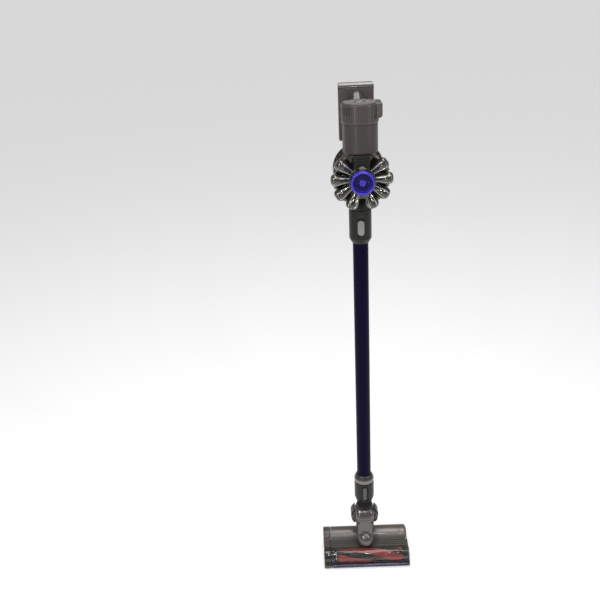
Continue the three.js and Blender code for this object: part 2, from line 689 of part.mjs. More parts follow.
function deck() {
  const [back, front] = [DRUM_Y - 13, BRUSH_Y + 9.7];
  const top = block([INNER_LEFT + GAP, front, DECK_TOP - 4], [HEAD_HALF - 4 - GAP, back, DECK_TOP]);
  const outlet = rod("z", 11, 0, 60, [0, NOSE_Y], SMALL);
  const drumRoom = rod("x", DRUM_RADIUS + GAP, -200, 200, DRUM);
  const windowRoom = rod("x", WINDOW_RADIUS + GAP, -200, 200, BRUSH, 32);
  return cut(top, drumRoom, windowRoom, noseRoom(), outlet);
}

function soleplate() {
  const [low, high] = [0, SOLE_TOP];
  const plateBody = block([-HEAD_HALF + 1, HEAD_FRONT + 12, low], [HEAD_HALF - 1, 30, high]);
  const mouth = block([BRUSH_LOW - 3, BRUSH_Y - 16.5, -1], [BRUSH_HIGH + 3, BRUSH_Y + 34.5, high + 1]);
  const ears = [];
  for (const side of [-1, 1]) {
    for (const x of [70, 84]) {
      const [x0, x1] = [side * x - 2, side * x + 2];
      ears.push(block([x0, 25, 1], [x1, WHEEL[0] + 3, WHEEL[1] + 3]));
    }
  }
  const axles = rod("x", 1.8, -200, 200, WHEEL, SMALL);
  const drumRoom = rod("x", DRUM_RADIUS + GAP, -200, 200, DRUM);
  return cut(join(plateBody, ...ears), mouth, axles, drumRoom);
}

function brushWindow() {
  const shell = tube("x", WINDOW_RADIUS, WINDOW_RADIUS - 1.6, INNER_LEFT + GAP, HEAD_HALF - 4 - GAP, BRUSH, 32);
  const behind = block([-200, BRUSH_Y + 16, -50], [200, 60, 100]);
  const below = block([-200, -200, -50], [200, 60, LIP_TOP + GAP]);
  return cut(shell, behind, below, noseRoom());
}

function frontLip() {
  const shape = new THREE.Shape();
  shape.moveTo(LIP_BACK, SOLE_TOP + GAP);
  shape.lineTo(HEAD_FRONT + 2, SOLE_TOP + GAP);
  shape.lineTo(HEAD_FRONT, SOLE_TOP + 2.5);
  shape.lineTo(HEAD_FRONT, LIP_TOP - 3);
  shape.lineTo(HEAD_FRONT + 3, LIP_TOP);
  shape.lineTo(LIP_BACK, LIP_TOP);
  shape.closePath();
  const room = rod("x", BRISTLE_RADIUS + 1.2, -200, 200, BRUSH);
  return cut(profileX(shape, INNER_LEFT + GAP, HEAD_HALF - 4 - GAP), room);
}

function leftEndCap() {
  const outer = profileX(headOutline(0), -HEAD_HALF, INNER_LEFT);
  const hollow = profileX(headOutline(SHELL_WALL), -HEAD_HALF + SHELL_WALL, INNER_LEFT + 1);
  return cut(outer, hollow);
}

function gearPlate() {
  const board = profileX(headOutline(SHELL_WALL + GAP), INNER_LEFT - 3, INNER_LEFT - GAP);
  const holes = [
    rod("x", 5.5, -200, 200, BRUSH, SMALL),
    rod("x", 5.5, -200, 200, DRUM, SMALL),
  ];
  return cut(board, ...holes);
}

function rightEndWall() {
  const all = profileX(headOutline(0), HEAD_HALF - 4, HEAD_HALF);
  const drumRoom = rod("x", DRUM_RADIUS + GAP, 0, 200, DRUM);
  const behind = block([0, DRUM_Y - 12, -10], [200, 100, 100]);
  return cut(all, drumRoom, behind, rod("x", 4.6, 0, 200, BRUSH, SMALL));
}

function addHead() {
  add("head_drum", drum(), "silver");
  add("head_deck", deck(), "warmGrey");
  add("soleplate", soleplate(), "black");
  add("brush_window", brushWindow(), "smoke");
  add("front_lip", frontLip(), "navy");
  add("left_end_cap", leftEndCap(), "warmGrey");
  add("gear_plate", gearPlate(), "black");
  add("right_end_wall", rightEndWall(), "smoke");
  for (const [name, side] of [["left", -1], ["right", 1]]) {
    const roller = rod("x", 4.8, side * 77 - 4.4, side * 77 + 4.4, WHEEL, 20);
    const stub = rod("x", 1.5, side * 77 - 8.5, side * 77 + 8.5, WHEEL, SMALL);
    add(`rear_wheel_${name}`, join(roller, stub), "black");
  }
}

// ---- Brush, its motor and belt drive ----
const BELT_X = -101;
const BELT_WIDTH = 7;
const BRUSH_PULLEY_RADIUS = 9;
const MOTOR_PULLEY_RADIUS = 6;
const BELT_THICKNESS = 1.4;

function brushCore() {
  const core = rod("x", CORE_RADIUS, BRUSH_LOW, BRUSH_HIGH, BRUSH);
  const journal = rod("x", 4, BELT_X - 6, HEAD_HALF - 1, BRUSH, SMALL);
  return join(core, journal);
}

// A row of bristles that wraps part of a turn round the core.
function bristleStrip(startDegrees) {
  const length = BRUSH_HIGH - BRUSH_LOW - 4;
  const root = CORE_RADIUS + GAP;
  const depth = BRISTLE_RADIUS - root;
  const geometry = new THREE.BoxGeometry(length, depth, 8, 20, 1, 1);
  geometry.translate(0, root + depth / 2, 0);
  const spot = geometry.attributes.position;
  for (let i = 0; i < spot.count; i++) {
    const [x, y, z] = [spot.getX(i), spot.getY(i), spot.getZ(i)];
    const angle = rad(startDegrees + (200 * x) / length);
    spot.setY(i, y * Math.cos(angle) - z * Math.sin(angle));
    spot.setZ(i, y * Math.sin(angle) + z * Math.cos(angle));
  }
  const middle = [(BRUSH_HIGH + BRUSH_LOW) / 2, BRUSH_Y, BRUSH_Z];
  return cut(place(geometry, "z", middle), rod("x", CORE_RADIUS + GAP, -200, 200, BRUSH));
}

function pulley(radius, centre, bore) {
  const [low, high] = [BELT_X - BELT_WIDTH / 2, BELT_X + BELT_WIDTH / 2];
  return tube("x", radius, bore, low + 0.2, high - 0.2, centre, 24);
}

function driveBelt() {
  const [low, high] = [BELT_X - BELT_WIDTH / 2, BELT_X + BELT_WIDTH / 2];
  const loop = (extra) =>
    aroundTwo(
      [BRUSH_Y, BRUSH_Z, BRUSH_PULLEY_RADIUS + GAP + extra],
      [DRUM_Y, DRUM_Z, MOTOR_PULLEY_RADIUS + GAP + extra],
    );
  return cut(profileX(loop(BELT_THICKNESS), low, high), profileX(loop(0), low - 1, high + 1));
}

function addBrush() {
  add("brush_core", brushCore(), "black");
  add("bristle_strip_1", bristleStrip(0), "red");
  add("bristle_strip_2", bristleStrip(180), "red");
  add("brush_pulley", pulley(BRUSH_PULLEY_RADIUS, BRUSH, 4 + GAP), "steel");
  add("motor_pulley", join(
    pulley(MOTOR_PULLEY_RADIUS, DRUM, 1),
    rod("x", 2, BELT_X - 4, INNER_LEFT + 12, DRUM, SMALL),
  ), "steel");
  add("drive_belt", driveBelt(), "black");
  add("brush_motor", cut(
    rod("x", 17, INNER_LEFT + 5, -20, DRUM, 24),
    rod("x", 2 + GAP, -200, INNER_LEFT + 14, DRUM, SMALL),
  ), "steel");
}

addMotor();
addHandle();
addCyclonePack();
addWand();
addNeck();
addHead();
addBrush();

export default vacuum;
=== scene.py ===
"""Cordless stick vacuum: the visual model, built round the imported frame."""
import math
import random

import bmesh
import bpy
from mathutils import Matrix, Vector


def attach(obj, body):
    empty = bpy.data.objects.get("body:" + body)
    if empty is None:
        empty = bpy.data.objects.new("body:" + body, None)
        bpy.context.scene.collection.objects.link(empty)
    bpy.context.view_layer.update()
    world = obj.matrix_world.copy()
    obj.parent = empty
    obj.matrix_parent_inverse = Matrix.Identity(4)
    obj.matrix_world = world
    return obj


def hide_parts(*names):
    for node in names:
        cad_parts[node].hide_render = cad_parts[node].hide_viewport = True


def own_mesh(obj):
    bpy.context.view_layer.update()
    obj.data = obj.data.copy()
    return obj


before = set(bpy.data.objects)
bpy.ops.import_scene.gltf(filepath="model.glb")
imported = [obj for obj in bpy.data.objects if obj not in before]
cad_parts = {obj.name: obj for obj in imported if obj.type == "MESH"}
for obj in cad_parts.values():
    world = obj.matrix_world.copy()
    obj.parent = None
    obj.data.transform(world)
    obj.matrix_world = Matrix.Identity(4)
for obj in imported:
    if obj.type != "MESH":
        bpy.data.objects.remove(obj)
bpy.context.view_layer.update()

MM = 0.001
TURN = 2 * math.pi
random.seed(7)

# The bodies that pieces ride on.
MACHINE = "machine_and_wand"
HEAD = "head"

# Driving sizes in millimetres, the same as the frame's.
COLLAR_R = 25.0
WAND_R = 17.5
PACK_Z = 1032.0
CONE_MIDDLE = 45  # how far out from the hub a cone leans
MOTOR_Y = -35.0
CASING_R = 37.0
EXHAUST_R = 39.0
PITCH = (5.0, 110.0)
NOSE = (-28.0, 55.0)
DRUM = (13.0, 29.0)
DRUM_R = 27.0
BRUSH = (-50.0, 19.5)
WINDOW_R = 20.4
DECK_TOP = 38.4
HEAD_HALF = 111.5
INNER_LEFT = -92.5


# ---- Camera, lights and floor ----
def camera():
    focal, pitch, roll, yaw = 755.0, math.radians(23.4), math.radians(2.86), math.radians(-1.26)
    ahead = Vector((math.sin(yaw) * math.cos(pitch), math.cos(yaw) * math.cos(pitch), -math.sin(pitch)))
    right = Vector((math.cos(yaw), -math.sin(yaw), 0))
    up = right.cross(ahead)
    turned_right = math.cos(roll) * right - math.sin(roll) * up
    turned_up = math.sin(roll) * right + math.cos(roll) * up
    data = bpy.data.cameras.new("camera")
    data.sensor_width = 36
    data.lens = focal / 600 * data.sensor_width
    seen = bpy.data.objects.new("camera", data)
    spot = Vector((-0.107, -1.608, 1.432))
    axes = Matrix((turned_right, turned_up, -ahead)).transposed().to_4x4()
    seen.matrix_world = Matrix.Translation(spot) @ axes
    bpy.context.scene.collection.objects.link(seen)
    bpy.context.scene.camera = seen


def softbox(name, spot, target, size, power, colour=(1, 1, 1)):
    data = bpy.data.lights.new(name, "AREA")
    data.shape = "RECTANGLE"
    data.size, data.size_y = size
    data.energy = power
    data.color = colour
    lamp = bpy.data.objects.new(name, data)
    lamp.location = spot
    heading = Vector(target) - Vector(spot)
    lamp.rotation_euler = heading.to_track_quat("-Z", "Y").to_euler()
    bpy.context.scene.collection.objects.link(lamp)


def studio():
    world = bpy.data.worlds.new("studio")
    world.use_nodes = True
    background = world.node_tree.nodes["Background"]
    background.inputs["Color"].default_value = (1, 1, 1, 1)
    background.inputs["Strength"].default_value = 0.26
    bpy.context.scene.world = world
    softbox("key_left", (-1.5, -1.6, 2.4), (0, 0, 0.9), (0.7, 1.0), 24)
    softbox("overhead", (0.2, 0.1, 2.9), (0, 0, 0), (1.8, 1.4), 36)
    softbox("right_strip", (1.3, -0.9, 1.5), (0, 0, 0.9), (0.12, 1.2), 6)
    softbox("left_strip", (-0.9, -1.5, 0.9), (0, 0, 0.2), (0.1, 0.9), 2.5)
    for i, x in enumerate((-0.75, 0.1, 0.7)):
        softbox(f"ceiling_lamp_{i + 1}", (x, -1.75, 2.3), (0, 0, 0.4), (0.14, 0.14), 4)
    bpy.context.scene.view_settings.view_transform = "Standard"
    floor_bm = bmesh.new()
    bmesh.ops.create_grid(floor_bm, x_segments=2, y_segments=2, size=200)
    mesh = bpy.data.meshes.new("floor")
    floor_bm.to_mesh(mesh)
    floor_bm.free()
    floor = bpy.data.objects.new("floor", mesh)
    floor.location.z = -0.0005
    bpy.context.scene.collection.objects.link(floor)
    paint = bpy.data.materials.new("floor_paint")
    paint.use_nodes = True
    shader = paint.node_tree.nodes["Principled BSDF"]
    shader.inputs["Base Color"].default_value = (0.62, 0.62, 0.62, 1)
    shader.inputs["Roughness"].default_value = 0.9
    shader.inputs["Emission Color"].default_value = (1, 1, 1, 1)
    shader.inputs["Emission Strength"].default_value = 0.52
    mesh.materials.append(paint)


# ---- Finishes ----
def node(tree, kind, **values):
    made = tree.nodes.new("ShaderNode" + kind)
    for key, value in values.items():
        if key in made.inputs:
            made.inputs[key].default_value = value
        else:
            setattr(made, key, value)
    return made


def noise(tree, place, scale, detail=4.0, rough=0.55):
    made = node(tree, "TexNoise", Scale=scale, Detail=detail, Roughness=rough)
    tree.links.new(place, made.inputs["Vector"])
    return made.outputs["Fac"]


def spread(tree, source, low, high):
    made = node(tree, "MapRange")
    made.inputs["From Min"].default_value = 0.3
    made.inputs["From Max"].default_value = 0.7
    made.inputs["To Min"].default_value = low
    made.inputs["To Max"].default_value = high
    tree.links.new(source, made.inputs["Value"])
    return made.outputs["Result"]


def blend_colours(tree, factor, first, second):
    made = tree.nodes.new("ShaderNodeMix")
    made.data_type = "RGBA"
    tree.links.new(factor, made.inputs["Factor"])
    for socket, value in ((made.inputs[6], first), (made.inputs[7], second)):
        if isinstance(value, tuple):
            socket.default_value = (*value, 1)
        else:
            tree.links.new(value, socket)
    return made.outputs[2]


def tinted(colour, by):
    return tuple(min(1.0, c * by) for c in colour)


def finish(name, colour, rough, metal=0.0, coat=0.0, grain=1400, bump=0.06, mottle=0.1,
           wear=0.25, clear=0.0, stretch=(1, 1, 1), sheen=0.0, spread_rough=0.07, ior=1.5, shine=0.5):
    """A moulded, painted or machined surface: fine grain, uneven gloss, faint mottling and worn edges."""
    made = bpy.data.materials.new(name)
    made.use_nodes = True
    tree = made.node_tree
    shader = tree.nodes["Principled BSDF"]
    shader.inputs["Metallic"].default_value = metal
    shader.inputs["Coat Weight"].default_value = coat
    shader.inputs["Coat Roughness"].default_value = 0.08
    shader.inputs["Transmission Weight"].default_value = clear
    shader.inputs["IOR"].default_value = ior
    shader.inputs["Specular IOR Level"].default_value = shine
    shader.inputs["Sheen Weight"].default_value = sheen
    where = node(tree, "TexCoord").outputs["Object"]
    mapping = node(tree, "Mapping")
    mapping.inputs["Scale"].default_value = stretch
    tree.links.new(where, mapping.inputs["Vector"])
    place = mapping.outputs["Vector"]
    base = blend_colours(tree, noise(tree, place, 45, 5), tinted(colour, 1 - mottle),
                         tinted(colour, 1 + mottle))
    if wear:
        edge = node(tree, "NewGeometry").outputs["Pointiness"]
        ramp = node(tree, "MapRange")
        ramp.inputs["From Min"].default_value = 0.53
        ramp.inputs["From Max"].default_value = 0.62
        ramp.inputs["To Max"].default_value = wear
        tree.links.new(edge, ramp.inputs["Value"])
        base = blend_colours(tree, ramp.outputs["Result"], base, tinted(colour, 2.2))
    tree.links.new(base, shader.inputs["Base Color"])
    gloss = spread(tree, noise(tree, place, 130, 6, 0.7), max(0.02, rough - spread_rough),
                   rough + spread_rough)
    tree.links.new(gloss, shader.inputs["Roughness"])
    if bump:
        dent = node(tree, "Bump", Strength=bump, Distance=0.0004)
        tree.links.new(noise(tree, place, grain, 3), dent.inputs["Height"])
        tree.links.new(dent.outputs["Normal"], shader.inputs["Normal"])
    return made


# ---- Mesh tools, all in millimetres ----
def softened(points, radius, steps=4, closed=False):
    """Replaces each corner of a polyline with a short arc-like curve."""
    count = len(points)
    made = []
    for i, point in enumerate(points):
        if not closed and i in (0, count - 1):
            made.append(Vector(point))
            continue
        here = Vector(point)
        before = Vector(points[i - 1]) - here
        after = Vector(points[(i + 1) % count]) - here
        reach = min(radius, before.length * 0.45, after.length * 0.45)
        start, end = here + before.normalized() * reach, here + after.normalized() * reach
        for k in range(steps + 1):
            t = k / steps
            made.append(start * (1 - t) ** 2 + here * 2 * t * (1 - t) + end * t * t)
    return made


def settle(bm):
    bmesh.ops.remove_doubles(bm, verts=bm.verts, dist=0.002)
    bmesh.ops.recalc_face_normals(bm, faces=bm.faces)
    return bm


AXES = {
    "z": Matrix.Identity(4),
    "x": Matrix(((0, 0, 1, 0), (1, 0, 0, 0), (0, 1, 0, 0), (0, 0, 0, 1))),
    "y": Matrix(((0, 1, 0, 0), (0, 0, 1, 0), (1, 0, 0, 0), (0, 0, 0, 1))),
}


def onto(bm, axis, centre):
    """Lays a shape made along Z along another axis, cycling the axes, and moves it to its centre."""
    a, b = centre
    spot = {"x": (0, a, b), "y": (a, 0, b), "z": (a, b, 0)}[axis]
    bmesh.ops.transform(bm, matrix=Matrix.Translation(spot) @ AXES[axis], verts=bm.verts)
    return bm


def turned(outline, axis, centre, corner=0.8, steps=96):
    """Spins an outline of (radius, place along the axis). One that starts off the axis is a closed ring."""
    ring = outline[0][0] > 0
    points = softened(outline, corner, closed=ring)
    bm = bmesh.new()
    verts = [bm.verts.new((r, 0, h)) for r, h in points]
    edges = [bm.edges.new(pair) for pair in zip(verts, verts[1:])]
    if ring:
        edges.append(bm.edges.new((verts[-1], verts[0])))
    bmesh.ops.spin(bm, geom=verts + edges, angle=TURN, steps=steps, axis=(0, 0, 1), cent=(0, 0, 0),
                   use_merge=True)
    settle(bm)
    onto(bm, axis, centre)
    return settle(bm)


def slab(outline, axis, low, high, corner=0.0, bevel=0.0, segments=3, cuts=0, corner_steps=5):
    """An outline pushed from `low` to `high` along an axis. The outline's two numbers are the two places
    across that axis, in X, Y, Z order starting after it."""
    points = softened(outline, corner, corner_steps,
                      closed=True) if corner else [Vector(p) for p in outline]
    bm = bmesh.new()
    face = bm.faces.new([bm.verts.new((p[0], p[1], low)) for p in points])
    pushed = bmesh.ops.extrude_face_region(bm, geom=[face])
    top = [v for v in pushed["geom"] if isinstance(v, bmesh.types.BMVert)]
    bmesh.ops.translate(bm, vec=(0, 0, high - low), verts=top)
    bmesh.ops.recalc_face_normals(bm, faces=bm.faces)
    if bevel:
        rims = [e for e in bm.edges if abs(e.verts[0].co.z - e.verts[1].co.z) < 1e-6]
        bmesh.ops.bevel(bm, geom=rims, offset=bevel, offset_type="OFFSET", affect="EDGES",
                        segments=segments,
                        profile=0.5, material=-1)
    for k in range(cuts):
        place = low + (high - low) * (k + 1) / (cuts + 1)
        bmesh.ops.bisect_plane(bm, geom=bm.verts[:] + bm.edges[:] + bm.faces[:], plane_co=(0, 0, place),
                               plane_no=(0, 0, 1))
    bmesh.ops.transform(bm, matrix=AXES[axis], verts=bm.verts)
    return settle(bm)


def stadium(width, height, middle, low, high, bevel=0.0):
    """An upright slot shape, round at both ends, pushed along Y."""
    half, straight = width / 2, height / 2 - width / 2
    outline = []
    for start, lift in ((0, straight), (180, -straight)):
        for k in range(17):
            angle = math.radians(start + 180 * k / 16)
            outline.append((middle + lift + half * math.sin(angle), half * math.cos(angle)))
    return slab(outline, "y", low, high, bevel=bevel)


def lofted(stations, sides=64, power=2.0):
    """Bridges rounded sections. A station is centre, direction, half width and half height."""
    bm = bmesh.new()
    rings = []
    for centre, ahead, wide, tall in stations:
        ring = bmesh.ops.create_circle(bm, segments=sides, radius=1)["verts"]
        for vert in ring:
            x, y = vert.co.x, vert.co.y
            swell = (abs(x) ** power + abs(y) ** power) ** (-1 / power)
            vert.co = Vector((x * swell * wide, y * swell * tall, 0))
        along = Vector(ahead).normalized()
        side = Vector((1, 0, 0)) if abs(along.x) < 0.7 else Vector((0, 0, 1))
        side = (side - along * side.dot(along)).normalized()
        other = along.cross(side).normalized()
        basis = Matrix((side, other, along)).transposed().to_4x4()
        bmesh.ops.transform(bm, matrix=Matrix.Translation(centre) @ basis, verts=ring)
        rings.append(ring)
    for ring, following in zip(rings, rings[1:]):
        edges = set(e for v in ring for e in v.link_edges if e.other_vert(v) in ring)
        edges |= set(e for v in following for e in v.link_edges if e.other_vert(v) in following)
        bmesh.ops.bridge_loops(bm, edges=list(edges))
    for ring in (rings[0], rings[-1]):
        bm.faces.new(ring)
    return settle(bm)


def joined(*parts):
    """Puts several shapes into one."""
    whole, rest = parts[0], parts[1:]
    for part in rest:
        spare = bpy.data.meshes.new("spare")
        part.to_mesh(spare)
        part.free()
        whole.from_mesh(spare)
        bpy.data.meshes.remove(spare)
    return whole


def facing(bm, direction, least=0.7):
    bm.normal_update()
    ahead = Vector(direction)
    return [f for f in bm.faces if f.normal.dot(ahead) > least]


def shaped(name, bm, body, finishes, replaced=(), smooth=32.0):
    """Makes the finished piece: metres, smooth faces with sharp creases kept, riding on its body."""
    bmesh.ops.scale(bm, vec=(MM, MM, MM), verts=bm.verts)
    bm.normal_update()
    for edge in bm.edges:
        edge.smooth = len(edge.link_faces) == 2 and edge.calc_face_angle(0) < math.radians(smooth)
    for face in bm.faces:
        face.smooth = True
    mesh = bpy.data.meshes.new(name)
    bm.to_mesh(mesh)
    bm.free()
    piece = bpy.data.objects.new(name, mesh)
    bpy.context.scene.collection.objects.link(piece)
    for made in finishes if isinstance(finishes, (list, tuple)) else [finishes]:
        mesh.materials.append(made)
    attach(piece, body)
    if replaced:
        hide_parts(*replaced)
    return piece


def carve(piece, *cutters, union=False):
    """Cuts shapes out of a finished piece, or joins them to it."""
    for cutter in cutters:
        bmesh.ops.scale(cutter, vec=(MM, MM, MM), verts=cutter.verts)
        mesh = bpy.data.meshes.new("cutter")
        cutter.to_mesh(mesh)
        cutter.free()
        tool = bpy.data.objects.new("cutter", mesh)
        bpy.context.scene.collection.objects.link(tool)
        step = piece.modifiers.new("carve", "BOOLEAN")
        step.operation = "UNION" if union else "DIFFERENCE"
        step.solver = "EXACT"
        step.object = tool
        bpy.context.view_layer.update()
        sight = bpy.context.evaluated_depsgraph_get()
        made = bpy.data.meshes.new_from_object(piece.evaluated_get(sight))
        piece.modifiers.clear()
        old = piece.data
        piece.data = made
        bpy.data.meshes.remove(old)
        bpy.data.objects.remove(tool)
        bpy.data.meshes.remove(mesh)
    return piece


# ---- Motor casing and exhaust cap ----
def exhaust_cap(grey, pale):
    levels = [1150, 1163, 1166.4, 1169.8, 1173.2, 1176.6, 1180]
    outline = [(36.7, 1145.4), (38.3, 1145.4), (EXHAUST_R, 1147)]
    outline += [(EXHAUST_R, z) for z in levels]
    outline += [(EXHAUST_R, 1182.5), (37.4, 1185.2), (33, 1185.9), (10, 1186.6), (8.5, 1186.2), (8.5, 1179),
                (12, 1179), (36.5, 1182), (36.7, 1180)]
    flutes = 54
    bm = turned(outline, "z", (0, MOTOR_Y), corner=0.4, steps=flutes * 2)
    columns, vents = [], []
    for face in bm.faces:
        spot = face.calc_center_median()
        radius = math.hypot(spot.x, spot.y - MOTOR_Y)
        if radius < EXHAUST_R - 0.6 or not 1150.3 < spot.z < 1179.8 or abs(face.normal.z) > 0.3:
            continue
        angle = math.atan2(spot.y - MOTOR_Y, spot.x) % TURN
        if int(angle / TURN * flutes * 2) % 2:
            continue
        in_vent = math.radians(196) < angle < math.radians(236) and spot.z > 1163
        (vents if in_vent else columns).append(face)
    bmesh.ops.inset_region(bm, faces=columns, thickness=0.35, depth=-0.75)
    bmesh.ops.inset_individual(bm, faces=vents, thickness=0.4, depth=-1.6)
    shaped("exhaust_cap_shell", bm, MACHINE, grey, ["exhaust_cap"])

    hood = slab([(1150.6, 28), (1186, 28), (1186, 44.9), (1157, 44.9)], "y", MOTOR_Y - 24, MOTOR_Y + 24,
                corner=4.5, bevel=4, segments=5, cuts=13)
    ribs = [f for f in facing(hood, (1, 0, 0), 0.9) if f.calc_area() > 20]
    ribs.sort(key=lambda f: f.calc_center_median().y)
    bmesh.ops.inset_individual(hood, faces=ribs[1:-1:2], thickness=0.5, depth=-0.9)
    shaped("exhaust_hood", hood, MACHINE, grey)
    grille = turned([(12, 1186.2), (34, 1185.6), (34, 1186.3), (12, 1187.0)], "z", (0, MOTOR_Y), corner=0.2)
    slats = [f for f in grille.faces if f.normal.z > 0.8]
    slats = [f for f in slats if int(math.degrees(math.atan2(f.calc_center_median().y - MOTOR_Y,
                                                             f.calc_center_median().x)) // 3.75) % 3 == 0]
    bmesh.ops.inset_individual(grille, faces=[f for f in slats if f.calc_area() > 15], thickness=0.3,
                               depth=-0.8)
    shaped("exhaust_grille", grille, MACHINE, pale)
    button = turned([(0, 1180), (7.7, 1180), (7.7, 1186.6), (5.5, 1187.6), (0, 1187.2)], "z", (0, MOTOR_Y))
    shaped("boost_button_cap", button, "boost_button", pale, ["boost_button"])


def motor_casing(grey, pale, black, tan):
    outline = [(34.8, 1084.1), (36, 1084.1), (CASING_R, 1085.6), (CASING_R, 1091.4), (36.75, 1091.8),
               (36.75, 1092.3), (CASING_R, 1092.7), (CASING_R, 1142.6), (36.3, 1143.6), (36.3, 1144.9),
               (34.8, 1144.9)]
    shaped("motor_casing_shell", turned(outline, "z", (0, MOTOR_Y), corner=0.25, steps=128), MACHINE, grey,
           ["motor_casing"])
    collar = turned([(35.2, 1143.9), (37.3, 1143.9), (37.6, 1145.1), (35.2, 1145.2)], "z", (0, MOTOR_Y),
                    corner=0.2)
    shaped("casing_top_bead", collar, MACHINE, grey)
    # Seam down the casing's left front. The seam is real; its pale colour is a painted highlight on the
    # casing's edge.
    seam = slab([(-0.55, -0.5), (0.55, -0.5), (0.35, 0.28), (-0.35, 0.28)], "z", 1087, 1143)
    angle = math.radians(203)
    spot = Vector((math.cos(angle) * CASING_R, math.sin(angle) * CASING_R + MOTOR_Y, 0))
    spun = Matrix.Translation(spot) @ Matrix.Rotation(angle - math.pi / 2, 4, "Z")
    bmesh.ops.transform(seam, matrix=spun, verts=seam.verts)
    shaped("casing_parting_line_painted_highlight", seam, MACHINE, pale)

    duct = slab([(-18, -77.5), (18, -77.5), (18, -42.4), (-18, -42.4)], "z", PACK_Z + 18.2, 1083.6,
                corner=7,
                bevel=0.8, cuts=8)
    rings = [f for f in duct.faces if abs(f.normal.z) < 0.2 and f.calc_center_median().z > 1059]
    rings = [f for f in rings if int((f.calc_center_median().z - 1050) / 3.72) % 2]
    bmesh.ops.inset_region(duct, faces=rings, thickness=0.5, depth=-0.8)
    saddle = turned([(0, -100), (28.3, -100), (28.3, -20), (0, -20)], "y", (0, PACK_Z), corner=0)
    carve(shaped("motor_inlet_bellows", duct, MACHINE, black, ["motor_inlet_duct"]),
          saddle)
    tab = slab([(PACK_Z + 24.2, -6.5), (PACK_Z + 24.2, 6.5), (PACK_Z + 30, 5), (PACK_Z + 30, -5)], "y", -84,
               -78.2, corner=1.5,
               bevel=0.8)
    shaped("filter_lock_tab", tab, MACHINE, tan)


# ---- Cyclone pack, filter, bin ----
def swung(bm, y, degrees, lean):
    """Leans a cone's mesh over its middle, then swings it round the pack to its own place."""
    over = Matrix.Translation((0, 0, CONE_MIDDLE))
    tilt = over @ Matrix.Rotation(math.radians(lean), 4, "X") @ over.inverted()
    swing = Matrix.Rotation(math.radians(180 - degrees), 4, "Y")
    bmesh.ops.transform(bm, matrix=Matrix.Translation((0, y, PACK_Z)) @ swing @ tilt, verts=bm.verts)
    return bm


def cone(reach, bulb, y, degrees, lean):
    """One cyclone: a waisted horn that swells to a round bulb, with a stepped collar before the bulb."""
    neck = bulb * 0.5
    outline = [(0, 21), (neck * 0.9, 21.4), (neck * 1.1, 24), (neck * 1.35, reach - bulb * 2.7),
               (bulb * 0.85, reach - bulb * 2.0),
               (bulb * 1.05, reach - bulb * 1.4), (bulb * 1.12, reach - bulb * 0.85),
               (bulb * 0.98, reach - bulb * 0.34),
               (bulb * 0.62, reach - bulb * 0.06), (0, reach)]
    bm = turned(outline, "z", (0, 0), corner=6, steps=36)
    return swung(bm, y, degrees, lean)


def cone_rail(reach, bulb, y, degrees, lean, side):
    """The raised edge that runs along one side of a cone's front, from the hub round its bulb."""
    neck = bulb * 0.5
    sizes = [(24, neck * 1.05), (reach - bulb * 2.7, neck * 1.28), (reach - bulb * 2.0, bulb * 0.82),
             (reach - bulb * 1.3, bulb * 1.03),
             (reach - bulb * 0.7, bulb * 1.04), (reach - bulb * 0.25, bulb * 0.78)]
    spots = [Vector((side * radius * math.sin(0.62), -radius * math.cos(0.62), out)) for out,
             radius in sizes]
    bm = lofted(cord_stations(smooth_run(spots, 5), 0.95), sides=10)
    return swung(bm, y, degrees, lean)


def cord_stations(spots, radius):
    """Stations for a round strip that runs through the given points."""
    return [(spot, after - before, radius, radius)
            for before, spot, after in zip([spots[0]] + spots[:-1], spots, spots[1:] + [spots[-1]])]


def smooth_run(points, steps):
    """A smooth run of points through the given ones."""
    made = []
    count = len(points)
    for i in range(count - 1):
        a, b = points[max(0, i - 1)], points[i]
        c, d = points[i + 1], points[min(count - 1, i + 2)]
        for k in range(steps):
            t = k / steps
            square = (2 * a - 5 * b + 4 * c - d) * t ** 2
            cube = (3 * b - a - 3 * c + d) * t ** 3
            made.append(0.5 * ((2 * b) + (c - a) * t + square + cube))
    made.append(points[-1])
    return made


def cyclones(smoke, rail, dark):
    sides = (-1, 1)
    front = [side * (23.5 + 34.5 * i) for i in range(4) for side in sides]
    rear = [side * (40.75 + 34.5 * i) for i in range(3) for side in sides]
    for tier, angles, reach, bulb, y, lean in (("front", front, 65.8, 12.0, -72, 7),
                                               ("rear", rear, 61.8, 11.0, -50, 0)):
        for i, degrees in enumerate(angles):
            shaped(f"cyclone_{tier}_{i + 1}", cone(reach, bulb, y, degrees, lean), MACHINE, smoke,
                   ["cyclone_cones_" + tier])
            # Two side ridges on each cone. The ridges are real; their pale polished finish paints the
            # cone's bright edge highlights.
            highlight_rails = [cone_rail(reach, bulb, y, degrees, lean, side) for side in sides]
            shaped(f"cyclone_{tier}_{i + 1}_rails", joined(*highlight_rails), MACHINE, rail)
        ring = turned([(24.3, y - 9), (28, y - 9), (28, y + 9), (24.3, y + 9)], "y", (0, PACK_Z), corner=2)
        shaped(f"cyclone_{tier}_band", ring, MACHINE, dark)
    hub = turned([(13.5, -85.6), (23.9, -85.6), (23.9, -38.4), (13.5, -38.4)], "y", (0, PACK_Z), corner=1)
    shaped("cyclone_hub_shell", hub, MACHINE, dark, ["cyclone_hub"])
    base = turned([(13.5, -37.9), (49.9, -37.9), (49.9, -35.1), (13.5, -35.1)], "y", (0, PACK_Z), corner=1)
    ribs = [slab([(-36, 15), (-36, 48.5), (-38, 48.5), (-39.5, 15)], "x", -0.7, 0.7) for _ in range(12)]
    for i, rib in enumerate(ribs):
        bmesh.ops.rotate(rib, cent=(0, 0, 0), matrix=Matrix.Rotation(TURN * i / 12, 3, "Y"),
                         verts=rib.verts)
        bmesh.ops.translate(rib, vec=(0, 0, PACK_Z), verts=rib.verts)
    shaped("cyclone_base_plate", joined(base, *ribs), MACHINE, dark, ["cyclone_base"])


